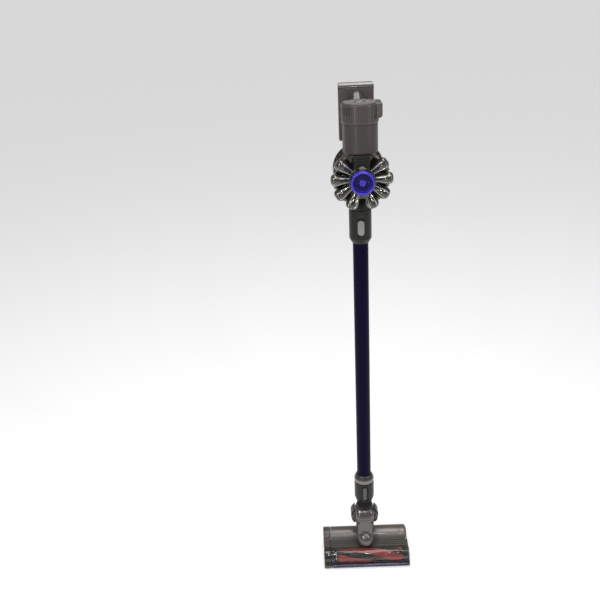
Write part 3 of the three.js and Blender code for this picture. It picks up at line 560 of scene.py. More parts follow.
def filter_cap(blue, shaded_well_blue):
    outline = [(0, -86.4), (23.6, -86.4), (24.9, -88), (24.9, -96), (24.4, -96.6), (24.9, -97.2),
               (24.9, -101.6),
               (23.6, -103.9), (21.2, -103.9), (19.8, -101.8), (18.6, -96), (17.2, -94.2), (8.6, -93.6),
               (7.4, -94.6),
               (6.8, -98.4), (5.6, -99.2), (3.6, -99.2), (3.0, -97.4), (0, -97.4)]
    bm = turned(outline, "y", (0, PACK_Z), corner=1.0, steps=96)
    grips = [f for f in bm.faces if abs(f.normal.y) < 0.2 and -96 < f.calc_center_median().y < -88.4
             and math.hypot(f.calc_center_median().x, f.calc_center_median().z - PACK_Z) > 24.5]
    picked = [f for f in grips if int((math.atan2(f.calc_center_median().z - PACK_Z,
                                                  f.calc_center_median().x) % TURN)
                                      / TURN * 48) % 2]
    bmesh.ops.inset_region(bm, faces=picked, thickness=0.3, depth=-0.5)
    piece = shaped("filter_cap_turned", bm, "filter", blue, ["filter_cap"])
    notch = slab([(PACK_Z - 6.5, -1.1), (PACK_Z - 6.5, 1.1), (PACK_Z + 6.5, 1.1), (PACK_Z + 6.5, -1.1)],
                 "y", -100, -97.9)
    carve(piece, notch)
    for side in (-1, 1):
        dot = turned([(0, -94.6), (1.5, -94.6), (1.3, -96.2), (0, -96.4)], "y", (side * 12.6, PACK_Z),
                     corner=0.4, steps=24)
        shaped(f"filter_cap_stud_{'left' if side < 0 else 'right'}", dot, "filter", blue)
    # Darker blue disc at the bottom of the cap's well: painted shade in the recess.
    well = turned([(8.7, -93.9), (17, -94.4), (17, -94.8), (8.7, -94.2)], "y", (0, PACK_Z), corner=0.1)
    shaped("filter_cap_well_painted_shade", well, "filter", shaded_well_blue)


def bin_pieces(clear, smoke, red):
    wall = turned([(48, -34.6), (50, -34.6), (50, 31.5), (51.5, 33.2), (56.8, 33.2), (56.8, 37.8),
                   (48, 37.8)], "y",
                  (0, PACK_Z), corner=1.2, steps=128)
    inlet = turned([(0, 970), (13, 970), (13, 995), (0, 995)], "z", (0, 0), corner=0)
    carve(shaped("bin_shell", wall, MACHINE, clear, ["bin"]), inlet)
    band = turned([(50.1, -34), (50.9, -34), (50.9, -29), (50.1, -29)], "y", (0, PACK_Z), corner=0.3,
                  steps=128)
    shaped("bin_front_band", band, MACHINE, smoke)
    disc = turned([(0, 38.4), (54.7, 38.4), (54.9, 40.6), (53, 41.9), (46, 41.9), (44.5, 40.9), (20, 40.9),
                   (18, 41.9),
                   (0, 41.9)], "y", (0, PACK_Z), corner=0.8, steps=128)
    knuckles = [turned([(2, x - 3.6), (4, x - 3.6), (4, x + 3.6), (2, x + 3.6)], "x", (42, PACK_Z - 62),
                       corner=0.5, steps=32)
                for x in (-8, 8)]
    web = slab([(38.4, 969), (41.9, 969), (41.9, 984), (38.4, 984)], "x", -11.8, 11.8, bevel=0.5)
    shaped("bin_door_disc", joined(disc, web, *knuckles), "bin_door", clear, ["bin_door"])
    spokes = []
    for i in range(8):
        rib = slab([(41.5, 19), (43.0, 21), (43.0, 43), (41.5, 45.5)], "x", -0.9, 0.9, bevel=0.3)
        bmesh.ops.rotate(rib, cent=(0, 0, 0), matrix=Matrix.Rotation(TURN * (i + 0.5) / 8, 3, "Y"),
                         verts=rib.verts)
        bmesh.ops.translate(rib, vec=(0, 0, PACK_Z), verts=rib.verts)
        spokes.append(rib)
    shaped("bin_door_ribs", joined(*spokes), "bin_door", smoke)
    seal = turned([(47.9, 36.6), (49.6, 36.6), (49.6, 38.2), (47.9, 38.2)], "y", (0, PACK_Z), corner=0.4)
    shaped("bin_seal", seal, MACHINE, smoke)
    arm = slab([(23, 1089.7), (23, 1091.5), (27, 1092.3), (44, 1092.3), (45, 1091), (45, 1087.5),
                (42.8, 1087.5), (42.4, 1089.7)],
               "x", -8, 8, corner=0.8, bevel=0.6)
    pivot = (27, PACK_Z + 59)
    barrel = turned([(0, -8), (2.9, -8), (2.9, 8), (0, 8)], "x", pivot, corner=0.5, steps=32)
    lever = shaped("bin_catch_lever", arm, "bin_catch", red, ["bin_catch"])
    carve(lever, barrel, union=True)
    carve(lever, *[turned([(0, low), (1.5, low), (1.5, low + 3.2), (0, low + 3.2)], "x", pivot, corner=0,
                          steps=24)
                   for low in (-8.2, 5.0)])
    for side in (-1, 1):
        low, high = sorted((side * 8.5, side * 10.9))
        lug = slab([(23.6, PACK_Z + 47.8), (30.4, PACK_Z + 47.8), (30.4, PACK_Z + 59),
                    (28.6, PACK_Z + 61.8), (25.4, PACK_Z + 61.8),
                    (23.6, PACK_Z + 59)], "x", low, high, corner=1.2, bevel=0.35)
        pin_low, pin_high = sorted((side * 5.7, side * 11.3))
        pin = turned([(0, pin_low), (1.2, pin_low), (1.2, pin_high), (0, pin_high)], "x", pivot, corner=0.2,
                     steps=24)
        shaped(f"catch_lug_{'left' if side < 0 else 'right'}", joined(lug, pin), MACHINE, smoke)


def shroud(steel):
    radius, low, high = 30.0, -34.6, 6.0
    bm = bmesh.new()
    verts = [bm.verts.new((radius, 0, low + (high - low) * k / 11)) for k in range(12)]
    edges = [bm.edges.new(pair) for pair in zip(verts, verts[1:])]
    bmesh.ops.spin(bm, geom=verts + edges, angle=TURN, steps=64, axis=(0, 0, 1), cent=(0, 0, 0),
                   use_merge=True)
    bmesh.ops.remove_doubles(bm, verts=bm.verts, dist=0.002)
    panes = [f for f in bm.faces if low + 4 < f.calc_center_median().z < high - 4]
    bmesh.ops.inset_individual(bm, faces=panes, thickness=0.75)
    bmesh.ops.delete(bm, geom=panes, context="FACES_ONLY")
    bmesh.ops.recalc_face_normals(bm, faces=bm.faces)
    bmesh.ops.solidify(bm, geom=bm.faces[:], thickness=1.0)
    onto(bm, "y", (0, PACK_Z))
    shaped("shroud_mesh", bm, MACHINE, steel, ["shroud"])


# ---- Handle, trigger and battery ----
def handle(grey, dark, red, metal):
    lean = Vector((0, 0.925, 0.38))
    path = [(-26, 1123.5, 16.8, 21.5), (-12, 1129.5, 16.8, 20.6), (4, 1136, 16.8, 20.3),
            (20, 1142.5, 16.4, 20.2),
            (36, 1149.2, 16.6, 20.6), (50, 1156.5, 18, 23), (62, 1163.0, 19.6, 26.6),
            (76.5, 1166.5, 19.8, 27.5)]
    stations = [((0, y, z), lean if y < 45 else (0, 1, 0.12), wide, tall) for y, z, wide, tall in path]
    whole = shaped("handle_shell", lofted(stations, sides=72, power=2.3), MACHINE, grey)
    motor_room = turned([(0, 1000), (EXHAUST_R + 0.4, 1000), (EXHAUST_R + 0.4, 1300), (0, 1300)], "z",
                        (0, MOTOR_Y), corner=0)
    slot_room = slab([(-8.5, 16), (8.5, 16), (8.5, 40), (-8.5, 40)], "z", 1095, 1140, corner=2)
    carve(whole, motor_room, slot_room)
    for name, side, cad in (("left", -1, "grip_left"), ("right", 1, "grip_right")):
        half = bmesh.new()
        half.from_mesh(whole.data)
        cut = bmesh.ops.bisect_plane(half, geom=half.verts[:] + half.edges[:] + half.faces[:],
                                     plane_co=(side * 0.15 * MM, 0, 0), plane_no=(-side, 0, 0),
                                     clear_outer=True)
        rim = [e for e in cut["geom_cut"] if isinstance(e, bmesh.types.BMEdge)]
        bmesh.ops.holes_fill(half, edges=rim, sides=0)
        bmesh.ops.scale(half, vec=(1 / MM, 1 / MM, 1 / MM), verts=half.verts)
        shaped(f"handle_shell_{name}", settle(half), MACHINE, grey, [cad])
    bpy.data.objects.remove(whole)
    for side in (-1, 1):
        pad = slab([(26, 1142), (62, 1157), (68, 1166), (66, 1174), (56, 1172), (27, 1156)], "x", 14.2,
                   18.9, corner=5, bevel=1)
        fine = [v for v in pad.verts if v.co.x > 16]
        for v in fine:
            v.co.x += 0.06 * max(0, v.co.y - 34)
        if side < 0:
            bmesh.ops.scale(pad, vec=(-1, 1, 1), verts=pad.verts)
        shaped(f"grip_pad_{'left' if side < 0 else 'right'}", settle(pad), MACHINE, dark)
    blade = slab([(17.2, 1131.5), (38.8, 1131.5), (38.8, 1113), (34, 1106.6), (27, 1108.6), (20, 1106.4),
                  (17.2, 1110)], "x",
                 -7.9, 7.9, corner=3, bevel=1.6, segments=4)
    shaped("trigger_blade", blade, "trigger", red, ["trigger"])

    low, high, turns, steps = 1132.9, 1138.7, 4, 112
    coil = bmesh.new()
    ring = bmesh.ops.create_circle(coil, segments=8, radius=0.55, matrix=Matrix.Translation((3.5, 0, low)) @
                                   Matrix.Rotation(math.pi / 2, 4, "X"))["verts"]
    edges = list({e for v in ring for e in v.link_edges})
    bmesh.ops.spin(coil, geom=ring + edges, angle=TURN * turns, steps=steps, axis=(0, 0, 1), cent=(0, 0, 0),
                   dvec=(0, 0, (high - low) / steps))
    bmesh.ops.holes_fill(coil, edges=[e for e in coil.edges if e.is_boundary], sides=0)
    bmesh.ops.translate(coil, vec=(0, 28, 0), verts=coil.verts)
    spring = shaped("trigger_coil", settle(coil), MACHINE, metal, ["trigger_spring"])
    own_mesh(spring)


def battery(grey, dark, pale, metal):
    body = slab([(80.2, 1083.4), (103.9, 1083.4), (103.9, 1207.7), (86, 1207.7), (79.6, 1204.8),
                 (77.3, 1198.2), (80.2, 1198.2)],
                "x", -38.8, 38.8, corner=4.0, bevel=3.4, segments=5)
    shaped("battery_body", body, MACHINE, grey, ["battery_case"])
    # Pale strip along the rounded top front edge: a painted highlight where light falls on the curve.
    crown = slab([(78.6, 1204.0), (80.2, 1206.1), (85.8, 1208.0), (90, 1208.0), (90, 1207.0),
                  (86.2, 1206.8), (81.2, 1204.6),
                  (80.2, 1203.4)], "x", -37.6, 37.6, corner=0.9, bevel=0.3)
    shaped("battery_crown_painted_highlight", crown, MACHINE, pale)
    panel = slab([(1084.4, -38.4), (1084.4, 38.4), (1197.6, 38.4), (1197.6, -38.4)], "y", 77.2, 79.9,
                 corner=3.4,
                 bevel=0.9, segments=3)
    shaped("battery_front_panel", panel, MACHINE, grey, ["battery_lid"])
    groove = slab([(1094, -31), (1094, 31), (1196, 31), (1196, -31)], "y", 103.1, 105, corner=7)
    plate_back = slab([(1094.7, -30.3), (1094.7, 30.3), (1195.3, 30.3), (1195.3, -30.3)], "y", 102.2,
                      103.95, corner=6.4,
                      bevel=0.5)
    carve(bpy.data.objects["battery_body"], groove)
    shaped("battery_back_plate", plate_back, MACHINE, dark)
    for i in range(9):
        z = 1104 + 3.4 * i
        rib = slab([(z, -22), (z, 22), (z + 1.5, 22), (z + 1.5, -22)], "y", 103.5, 104.3, corner=0.7,
                   bevel=0.25)
        shaped(f"battery_grip_rib_{i + 1}", rib, MACHINE, grey)
    for i, (x, z) in enumerate(((-24, 1187), (24, 1187))):
        head = turned([(0, 102.5), (3.3, 102.5), (3.3, 103.9), (2.5, 104.25), (0, 104.25)], "y", (x, z),
                      corner=0.4, steps=32)
        screw = shaped(f"battery_screw_{i + 1}", head, MACHINE, metal)
        for turn in (0, 90):
            drive = slab([(z - 2, x - 0.35), (z - 2, x + 0.35), (z + 2, x + 0.35), (z + 2, x - 0.35)], "y",
                         103.5, 105)
            bmesh.ops.rotate(drive, cent=(x, 0, z), matrix=Matrix.Rotation(math.radians(turn), 3, "Y"),
                             verts=drive.verts)
            carve(screw, drive)
    socket = turned([(1.3, 1083.0), (4.6, 1083.0), (4.6, 1085.2), (1.3, 1085.2)], "z", (0, 92), corner=0.4,
                    steps=32)
    shaped("charge_socket", socket, MACHINE, metal)
    lens = slab([(1088, -3.4), (1088, 3.4), (1090.4, 3.4), (1090.4, -3.4)], "y", 76.9, 77.8, corner=1.1,
                bevel=0.25)
    shaped("charge_lens", lens, MACHINE, pale)


# ---- Inlet, wand and collars ----
def button(name, body, width, height, z, made, cad, ridges):
    bm = stadium(width, height, z, -COLLAR_R - 1.1, -20.2, bevel=1.3)
    for v in bm.verts:
        if v.co.y < -COLLAR_R + 0.6:
            reach = min(1, abs(v.co.z - z) / (height / 2)) ** 2
            v.co.y += 0.5 * (1 - reach)
    shaped(name, bm, body, made, [cad])
    bars = []
    for i in range(ridges):
        low = z - height * 0.3 + i * 2.6
        bars.append(slab([(low, -width * 0.26), (low, width * 0.26), (low + 1.1, width * 0.26),
                          (low + 1.1, -width * 0.26)],
                         "y", -COLLAR_R - 1.0, -COLLAR_R + 0.6, corner=0.5, bevel=0.3))
    shaped(name + "_ridges", joined(*bars), body, made)


def pocket(width, height, z, low=-30):
    return stadium(width, height, z, low, -18.4)


def wand(black, purple, pale, cover, dark, grey, brown):
    neck = turned([(13, 951.4), (24.6, 951.4), (COLLAR_R, 952.2), (COLLAR_R, 992), (13, 992)], "z", (0, 0),
                  corner=0.6)
    spigot = turned([(13, 907.4), (15.6, 907.4), (16, 909), (16, 951.2), (13, 951.2)], "z", (0, 0),
                    corner=0.5)
    saddle = turned([(0, -70), (50.3, -70), (50.3, 70), (0, 70)], "y", (0, PACK_Z), corner=0)
    inlet = shaped("machine_inlet_neck", neck, MACHINE, black, ["machine_inlet"])
    carve(inlet, saddle)
    shaped("machine_inlet_spigot", spigot, MACHINE, dark)
    collar = turned([(17.9, 872.2), (18.6, 872.2), (19.4, 873.4), (24.4, 882.2), (COLLAR_R, 884.2),
                     (COLLAR_R, 949.6),
                     (24.4, 950.8), (16.5, 950.8), (16.5, 884.5), (17.9, 884.5)], "z", (0, 0), corner=0.9,
                    steps=128)
    upper = shaped("wand_collar_upper", collar, MACHINE, black, ["wand_upper_collar"])
    carve(upper, pocket(16.4, 36.4, 912))
    button("wand_release_cap", "wand_release", 14.9, 34.9, 912, grey, "wand_release_button", 5)
    tube = turned([(16.2, 240.2), (17.3, 240.2), (WAND_R, 240.6), (WAND_R, 883.6), (17.3, 883.9),
                   (16.2, 883.9)], "z", (0, 0),
                  corner=0.2, steps=128)
    shaped("wand_barrel", tube, MACHINE, purple, ["wand_tube"])

    ring = turned([(13.2, 224.2), (24.3, 224.2), (24.9, 225), (24.9, 233.2), (24.4, 233.9), (13.2, 233.9)],
                  "z", (0, 0),
                  corner=0.5, steps=128)
    plug = turned([(13.2, 180.4), (15.7, 180.4), (15.9, 181), (15.9, 224), (13.2, 224)], "z", (0, 0),
                  corner=0.4)
    shaped("wand_end_ring", joined(ring, plug), MACHINE, pale, ["wand_lower_end"])
    taper = turned([(13.2, 234.1), (24.2, 234.1), (23.8, 236.8), (20.4, 243.2), (19, 244.9), (17.9, 244.9),
                    (17.9, 239.6),
                    (13.2, 239.6)], "z", (0, 0), corner=1.2, steps=128)
    shaped("wand_end_taper", taper, MACHINE, cover)
    lower = turned([(13.2, 161.3), (19.8, 161.3), (20.4, 162.2), (24.2, 173.6), (COLLAR_R, 177),
                    (COLLAR_R, 222.6),
                    (24.4, 223.5), (16.5, 223.5), (16.5, 179.6), (13.2, 179.6)], "z", (0, 0), corner=1.2,
                   steps=128)
    socket = shaped("head_collar_socket", lower, MACHINE, black, ["head_collar"])
    carve(socket, pocket(11.4, 39.4, 196))
    bezel = stadium(15.4, 43.4, 196, -25.7, -21.5, bevel=0.7)
    carve(shaped("head_button_bezel", bezel, MACHINE, dark), pocket(10.9, 38.9, 196))
    button("head_release_cap", "head_release", 9.9, 37.9, 196, brown, "head_release_button", 4)
    rings = [(13.3, 149.4), (19, 149.4)]
    for i in range(4):
        z = 149.8 + i * 2.7
        rings += [(19.4, z), (19.4, z + 1.5), (18, z + 1.9), (18, z + 2.4)]
    rings += [(19, 160.6), (13.3, 160.6)]
    shaped("neck_gaiter", turned(rings, "z", (0, 0), corner=0.4), MACHINE, dark, ["neck_seal_ring"])


# ---- Neck ----
def neck_strut(extra=0.0, roll=0.0):
    """The elbow's lower half: full at the ball, waisted in front, then round over the nose.

    `extra` is clearance, and `roll` is the degrees it is turned about the nose.
    """
    top, low = Vector((0, *PITCH)), Vector((0, *NOSE))
    ahead = (low - top).normalized()
    front = ahead.cross(Vector((1, 0, 0)))
    reach = (low - top).length
    radius = 22.4
    sizes = [(2, 23.8, 32.3), (12, 23.7, 30.2), (23, 23.5, 26.2), (34, 23.2, 21.8), (43, 22.8, 19.2),
             (49, 22.6, 18.3)]
    for i in range(19):
        angle = math.radians(-35 + 123 * i / 18)
        wide = radius * math.cos(max(0.0, angle))
        sizes.append((reach + radius * math.sin(angle), wide, radius * math.cos(angle)))
    stations = []
    for k, wide, ahead_of in sizes:
        behind = min(radius, wide)
        middle = top + ahead * k + front * (ahead_of - behind) / 2
        stations.append((middle, ahead, wide + extra, (ahead_of + behind) / 2 + extra))
    bm = lofted(stations, sides=80)
    bmesh.ops.rotate(bm, cent=low, matrix=Matrix.Rotation(math.radians(roll), 3, "Y"), verts=bm.verts)
    return bm


def neck(black, silver, cover, dark):
    y, z = PITCH
    ring = turned([(13, 144), (20, 144), (20.5, 145.4), (20.5, 148.2), (19.4, 149), (13, 149)], "z", (0, 0),
                  corner=0.8)
    parts = []
    for side in (-1, 1):
        disc = [(0, side * 24.3), (21.4, side * 24.3), (22.0, side * 26), (20.8, side * 29.2),
                (17, side * 32.6),
                (12, side * 34.9), (9.4, side * 35.3), (8.4, side * 34.5), (5, side * 34.5),
                (4, side * 35.5), (0, side * 35.8)]
        shaped(f"yoke_hub_{'left' if side < 0 else 'right'}",
               turned(disc, "x", PITCH, corner=1.4, steps=72), MACHINE,
               cover)
        arm = slab([(y - 14.5, z + 4), (y + 14.5, z + 4), (y + 12.5, 147.6), (y - 12.5, 147.6)], "x",
                   min(side * 24.8, side * 35.8), max(side * 24.8, side * 35.8), corner=3, bevel=1.6,
                   cuts=6)
        parts.append(arm)
    bridge = slab([(y - 12.8, 141), (y + 12.8, 141), (y + 12.8, 148.6), (y - 12.8, 148.6)], "x", -33, 33,
                  corner=2, bevel=1.2)
    whole = shaped("yoke_frame", parts[0], MACHINE, black, ["yoke"])
    carve(whole, parts[1], bridge, union=True)
    ball_room = turned([(0, -24.5), (34, -24.5), (34, 24.5), (0, 24.5)], "x", PITCH, corner=0)
    bore = turned([(0, 100), (13, 100), (13, 200), (0, 200)], "z", (0, 0), corner=0)
    crown = turned([(37.5, -60), (80, -60), (80, 60), (37.5, 60)], "y", (0, z - 2), corner=0, steps=128)
    carve(whole, crown)
    carve(whole, ring, union=True)
    carve(whole, ball_room, bore)

    ball = turned([(0, -23.9), (23.6, -23.9), (28.4, -21.4), (31.2, -15.5), (32.5, -8), (32.9, 0),
                   (32.5, 8), (31.2, 15.5),
                   (28.4, 21.4), (23.6, 23.9), (0, 23.9)], "x", PITCH, corner=4, steps=112)
    ny, nz = NOSE
    shell = neck_strut()
    elbow = shaped("elbow_shell", ball, "neck", silver, ["elbow"], smooth=50)
    carve(elbow, shell, union=True)
    pin_room = turned([(0, -60), (6.3, -60), (6.3, -16), (0, -16)], "x", PITCH, corner=0, steps=48)
    other_room = turned([(0, 16), (6.3, 16), (6.3, 60), (0, 60)], "x", PITCH, corner=0, steps=48)
    duct = turned([(0, z), (11, z), (11, 200), (0, 200)], "z", (0, y), corner=0)
    outlet = turned([(0, 0), (11, 0), (11, nz), (0, nz)], "z", (0, ny), corner=0)
    carve(elbow, pin_room, other_room, duct, outlet)
    hose = turned([(9.4, z), (10.6, z)] + [(10.6 + 0.5 * (i % 2),
                                            z + 2 + i * 1.6) for i in range(19)] + [(9.4, z + 33)], "z",
                  (0, y),
                  corner=0.5)
    shaped("neck_hose", hose, "neck", dark)
    for i, (tilt, half) in enumerate(((172, 30), (161, 24))):
        seam = []
        for k in range(21):
            out = math.radians(-half + 2 * half * k / 20)
            down = math.radians(tilt + 5 * (1 - (2 * k / 20 - 1) ** 2))
            across = 33.5 * math.sin(out)
            radius = 32.9 - 2.2 * (across / 15.5) ** 2
            spot = Vector((across, y + radius * math.cos(down), z + radius * math.sin(down)))
            seam.append(spot)
        strip = lofted(cord_stations(seam, 0.45), sides=8)
        shaped(f"neck_seam_{i + 1}", strip, "neck", dark)


# ---- Cleaner head ----
def arc(centre, radius, start, stop, step=4):
    """Points on an arc in the side view, as (Y, Z), angles in degrees from +Y."""
    count = max(1, round(abs(stop - start) / step))
    angles = [math.radians(start + (stop - start) * k / count) for k in range(count + 1)]
    return [(centre[0] + radius * math.cos(a), centre[1] + radius * math.sin(a)) for a in angles]


def head_side(inset=0.0, floor=3.4):
    """The head seen from its side: round over the drum and the brush, flat below."""
    points = [(-78 + inset, floor + inset), (DRUM[0] + DRUM_R * 0.3, floor + inset)]
    points += arc(DRUM, DRUM_R - inset, -60, 150)
    points.append((DRUM[0] - 27, DECK_TOP - inset))
    points += arc(BRUSH, WINDOW_R - inset, 62, 185)
    points.append((-78 + inset, 12 - inset))
    return points


def along_x(radius, centre, low=-200, high=200, steps=128):
    return turned([(0, low), (radius, low), (radius, high), (0, high)], "x", centre, corner=0, steps=steps)


def nose_seat():
    """The round seat in the head that the nose of the elbow turns in."""
    outline = [(0, -22.9)] + [(22.9 * math.cos(math.radians(a)),
                               22.9 * math.sin(math.radians(a))) for a in range(-84, 85, 6)]
    seat = turned(outline + [(0, 22.9)], "z", (0, NOSE[0]), corner=0.1)
    bmesh.ops.translate(seat, vec=(0, 0, NOSE[1]), verts=seat.verts)
    return seat


def cleaner_head(paint, grey, brown, clear, navy, dark, smoke):
    drum_outline = [(0, HEAD_HALF - 0.2), (19, HEAD_HALF - 0.2), (24.4, HEAD_HALF - 1.8),
                    (26.9, HEAD_HALF - 6.5), (26.9, 92),
                    (26.5, 91.6), (26.5, 91.0), (26.9, 90.6), (26.9, INNER_LEFT + 0.4),
                    (25, INNER_LEFT + 0.4),
                    (25, HEAD_HALF - 4), (0, HEAD_HALF - 4)]
    drum = shaped("drum_shell", turned(drum_outline, "x", DRUM, corner=0.5, steps=160), HEAD, paint,
                  ["head_drum"])
    carve(drum, slab([(-60, -10), (60, -10), (60, 3.4), (-60, 3.4)], "x", -200, 200), nose_seat(),
          *[neck_strut(0.6, roll) for roll in (-25, -12.5, 0, 12.5, 25)])

    cup = [(22.9 * math.cos(math.radians(a)), 22.9 * math.sin(math.radians(a))) for a in range(-60, -14, 3)]
    cup += [(23.7 * math.cos(math.radians(a)), 23.7 * math.sin(math.radians(a))) for a in range(-15, -61,
        -3)]
    bowl = turned(cup, "z", (0, NOSE[0]), corner=0.1, steps=72)
    bmesh.ops.translate(bowl, vec=(0, 0, NOSE[1]), verts=bowl.verts)
    roof = slab([(-60, 41), (20, 41), (20, 90), (-60, 90)], "x", -60, 60)
    carve(shaped("nose_cup", bowl, HEAD, dark), roof, along_x(18.6, BRUSH))
    back, front, count = -11.0, -40.1, 4
    pitch = (front - back) / count
    top = []
    for i in range(count):
        start = back + pitch * i
        top += [(start + pitch * 0.08, DECK_TOP), (start + pitch * 0.78, DECK_TOP),
                (start + pitch * 0.80, DECK_TOP - 1.5),
                (start + pitch * 0.98, DECK_TOP - 1.5)]
    outline = [(back, DECK_TOP - 3.8)] + top[:-2] + [(front, DECK_TOP), (front, DECK_TOP - 3.8)]
    plate = shaped("deck_plate", slab(outline, "x", INNER_LEFT + 0.4, HEAD_HALF - 4.6, bevel=0.2), HEAD,
                   grey, ["head_deck"])
    outlet = turned([(0, 0), (11, 0), (11, 60), (0, 60)], "z", (0, NOSE[0]), corner=0)
    carve(plate, along_x(DRUM_R + 0.3, DRUM), along_x(WINDOW_R + 0.3, BRUSH), nose_seat(), outlet)

    glass = arc(BRUSH, WINDOW_R - 0.1, 58, 206) + arc(BRUSH, WINDOW_R - 1.5, 205, 57)
    pane = shaped("window_arc", slab(glass, "x", INNER_LEFT + 0.4, HEAD_HALF - 4.6, bevel=0.3), HEAD, clear,
                  ["brush_window"])
    carve(pane, nose_seat())
    rail = arc(BRUSH, WINDOW_R + 0.15, 57, 64, 2) + arc(BRUSH, WINDOW_R - 1.0, 64, 57, 2)
    carve(shaped("window_top_rail", slab(rail, "x", INNER_LEFT + 0.6, HEAD_HALF - 4.8, bevel=0.2), HEAD,
                 dark), nose_seat())
    # Dark strips along the front and the ends of the mouth. They are felt lips, made wide enough to act as
    # painted shade where the floor under the head would show through the window.
    felt = slab([(-66.2, 0.4), (-66.2, 3.6), (-68.4, 8.5), (-67.2, 8.9), (-64.5, 4.2), (-60, 2.8),
                 (-55, 1.7), (-45, 1.5),
                 (-45, 0.4)], "x", -78.8, 96.8, bevel=0.15)
    ends = [slab([(-66, 0.4), (-66, 2.8), (-16, 2.8), (-16, 0.4)], "x", low, high, bevel=0.2)
            for low, high in ((-78.9, -76.3), (94.3, 96.9))]
    shaped("mouth_felt_and_shade_strips", joined(felt, *ends), HEAD, dark)
    for i, x in enumerate((-88, 102)):
        hoop = arc(BRUSH, WINDOW_R - 1.6, 52, 214) + arc(BRUSH, WINDOW_R - 2.8, 214, 52)
        shaped(f"window_hoop_{i + 1}", slab(hoop, "x", x - 1.5, x + 1.5, bevel=0.3), HEAD, smoke)

    lip = [(-70.2, 3.4), (-77.6, 3.4), (-79.8, 5.6), (-79.8, 9.4), (-76.8, 11.9), (-70.2, 11.9)]
    shaped("front_bumper", slab(lip, "x", INNER_LEFT + 0.4, HEAD_HALF - 0.4, corner=2.2, bevel=1.4,
                                segments=4), HEAD, navy,
           ["front_lip"])

    cap = slab(head_side(0), "x", -HEAD_HALF + 0.2, INNER_LEFT - 0.1, bevel=2.6, segments=5)
    room = slab(head_side(2), "x", -HEAD_HALF + 2.4, INNER_LEFT + 4)
    split = slab([(-200, -50), (-36, -50), (-36, 100), (-200, 100)], "x", -200, 0)
    carve(shaped("end_cap_left", cap, HEAD, brown, ["left_end_cap"]), room, split)
    visor = slab(head_side(0), "x", -HEAD_HALF + 0.2, INNER_LEFT - 0.1, bevel=2.6, segments=5)
    room = slab(head_side(2), "x", -HEAD_HALF + 2.4, INNER_LEFT + 4)
    split = slab([(-36.3, -50), (200, -50), (200, 100), (-36.3, 100)], "x", -200, 0)
    carve(shaped("end_cap_visor", visor, HEAD, smoke), room, split)
    for i in range(3):
        x = -107 + 5 * i
        hoop = arc(BRUSH, WINDOW_R + 0.35, 66, 186) + arc(BRUSH, WINDOW_R - 0.8, 186, 66)
        shaped(f"end_cap_band_{i + 1}", slab(hoop, "x", x - 0.6, x + 0.6, bevel=0.25), HEAD, dark)
    lock = turned([(0, -HEAD_HALF + 0.9), (7.5, -HEAD_HALF + 0.9), (7.5, -HEAD_HALF + 0.2),
                   (6.6, -HEAD_HALF), (0, -HEAD_HALF)],
                  "x", BRUSH, corner=0.2, steps=48)
    shaped("end_cap_boss", lock, HEAD, dark)

    wall = shaped("end_wall_right", slab(head_side(0.2), "x", HEAD_HALF - 4.0, HEAD_HALF - 0.2, bevel=1.4,
                                         segments=4), HEAD,
                  clear, ["right_end_wall"])
    behind = slab([(DRUM[0] - 12, -10), (90, -10), (90, 90), (DRUM[0] - 12, 90)], "x", 60, 200)
    carve(wall, along_x(7.4, BRUSH, 60, steps=48), behind, along_x(DRUM_R + 0.3, DRUM, 60))
    turnlock = turned([(0, HEAD_HALF - 3.6), (7.1, HEAD_HALF - 3.6), (7.1, HEAD_HALF - 0.6),
                       (6.4, HEAD_HALF - 0.1),
                       (0, HEAD_HALF - 0.1)], "x", BRUSH, corner=0.4, steps=48)
    coin = slab([(BRUSH[0] - 5.2, BRUSH[1] - 0.8), (BRUSH[0] + 5.2, BRUSH[1] - 0.8),
                 (BRUSH[0] + 5.2, BRUSH[1] + 0.8),
                 (BRUSH[0] - 5.2, BRUSH[1] + 0.8)], "x", HEAD_HALF - 1.7, HEAD_HALF + 2)
    carve(shaped("brush_end_lock", turnlock, HEAD, brown), coin)


def soleplate(black, felt):
    body = slab([(-HEAD_HALF + 1.2, -68), (HEAD_HALF - 1.2, -68), (HEAD_HALF - 1.2, 30),
                 (-HEAD_HALF + 1.2, 30)], "z", 0.1, 2.95,
                corner=4, bevel=0.5)
    mouth = slab([(-79, -66.4), (97, -66.4), (97, -15.6), (-79, -15.6)], "z", -2, 6, corner=3)
    ears = []
    for side in (-1, 1):
        for x in (70, 84):
            ears.append(slab([(25, 1.1), (36.5, 1.1), (38, 3), (38, 6.6), (36.5, 8), (25, 8)], "x",
                             side * x - 1.95, side * x + 1.95,
                             corner=1.2, bevel=0.3))
    plate = shaped("sole_plate", body, HEAD, black, ["soleplate"])
    carve(plate, mouth)
    carve(plate, *ears, union=True)
    carve(plate, along_x(DRUM_R + 0.3, DRUM), along_x(1.8, (35, 5), steps=24))
    for side in (-1, 1):
        low, high = side * 77 - 4.3, side * 77 + 4.3
        rim = [(0, low - 4), (1.4, low - 4), (1.4, low), (4.3, low), (4.8, low + 0.8), (4.8, high - 0.8),
               (4.3, high), (1.4, high),
               (1.4, high + 4), (0, high + 4)]
        name = "left" if side < 0 else "right"
        shaped(f"wheel_tyre_{name}", turned(rim, "x", (35, 5), corner=0.3, steps=48), f"wheel_{name}", felt,
               [f"rear_wheel_{name}"])


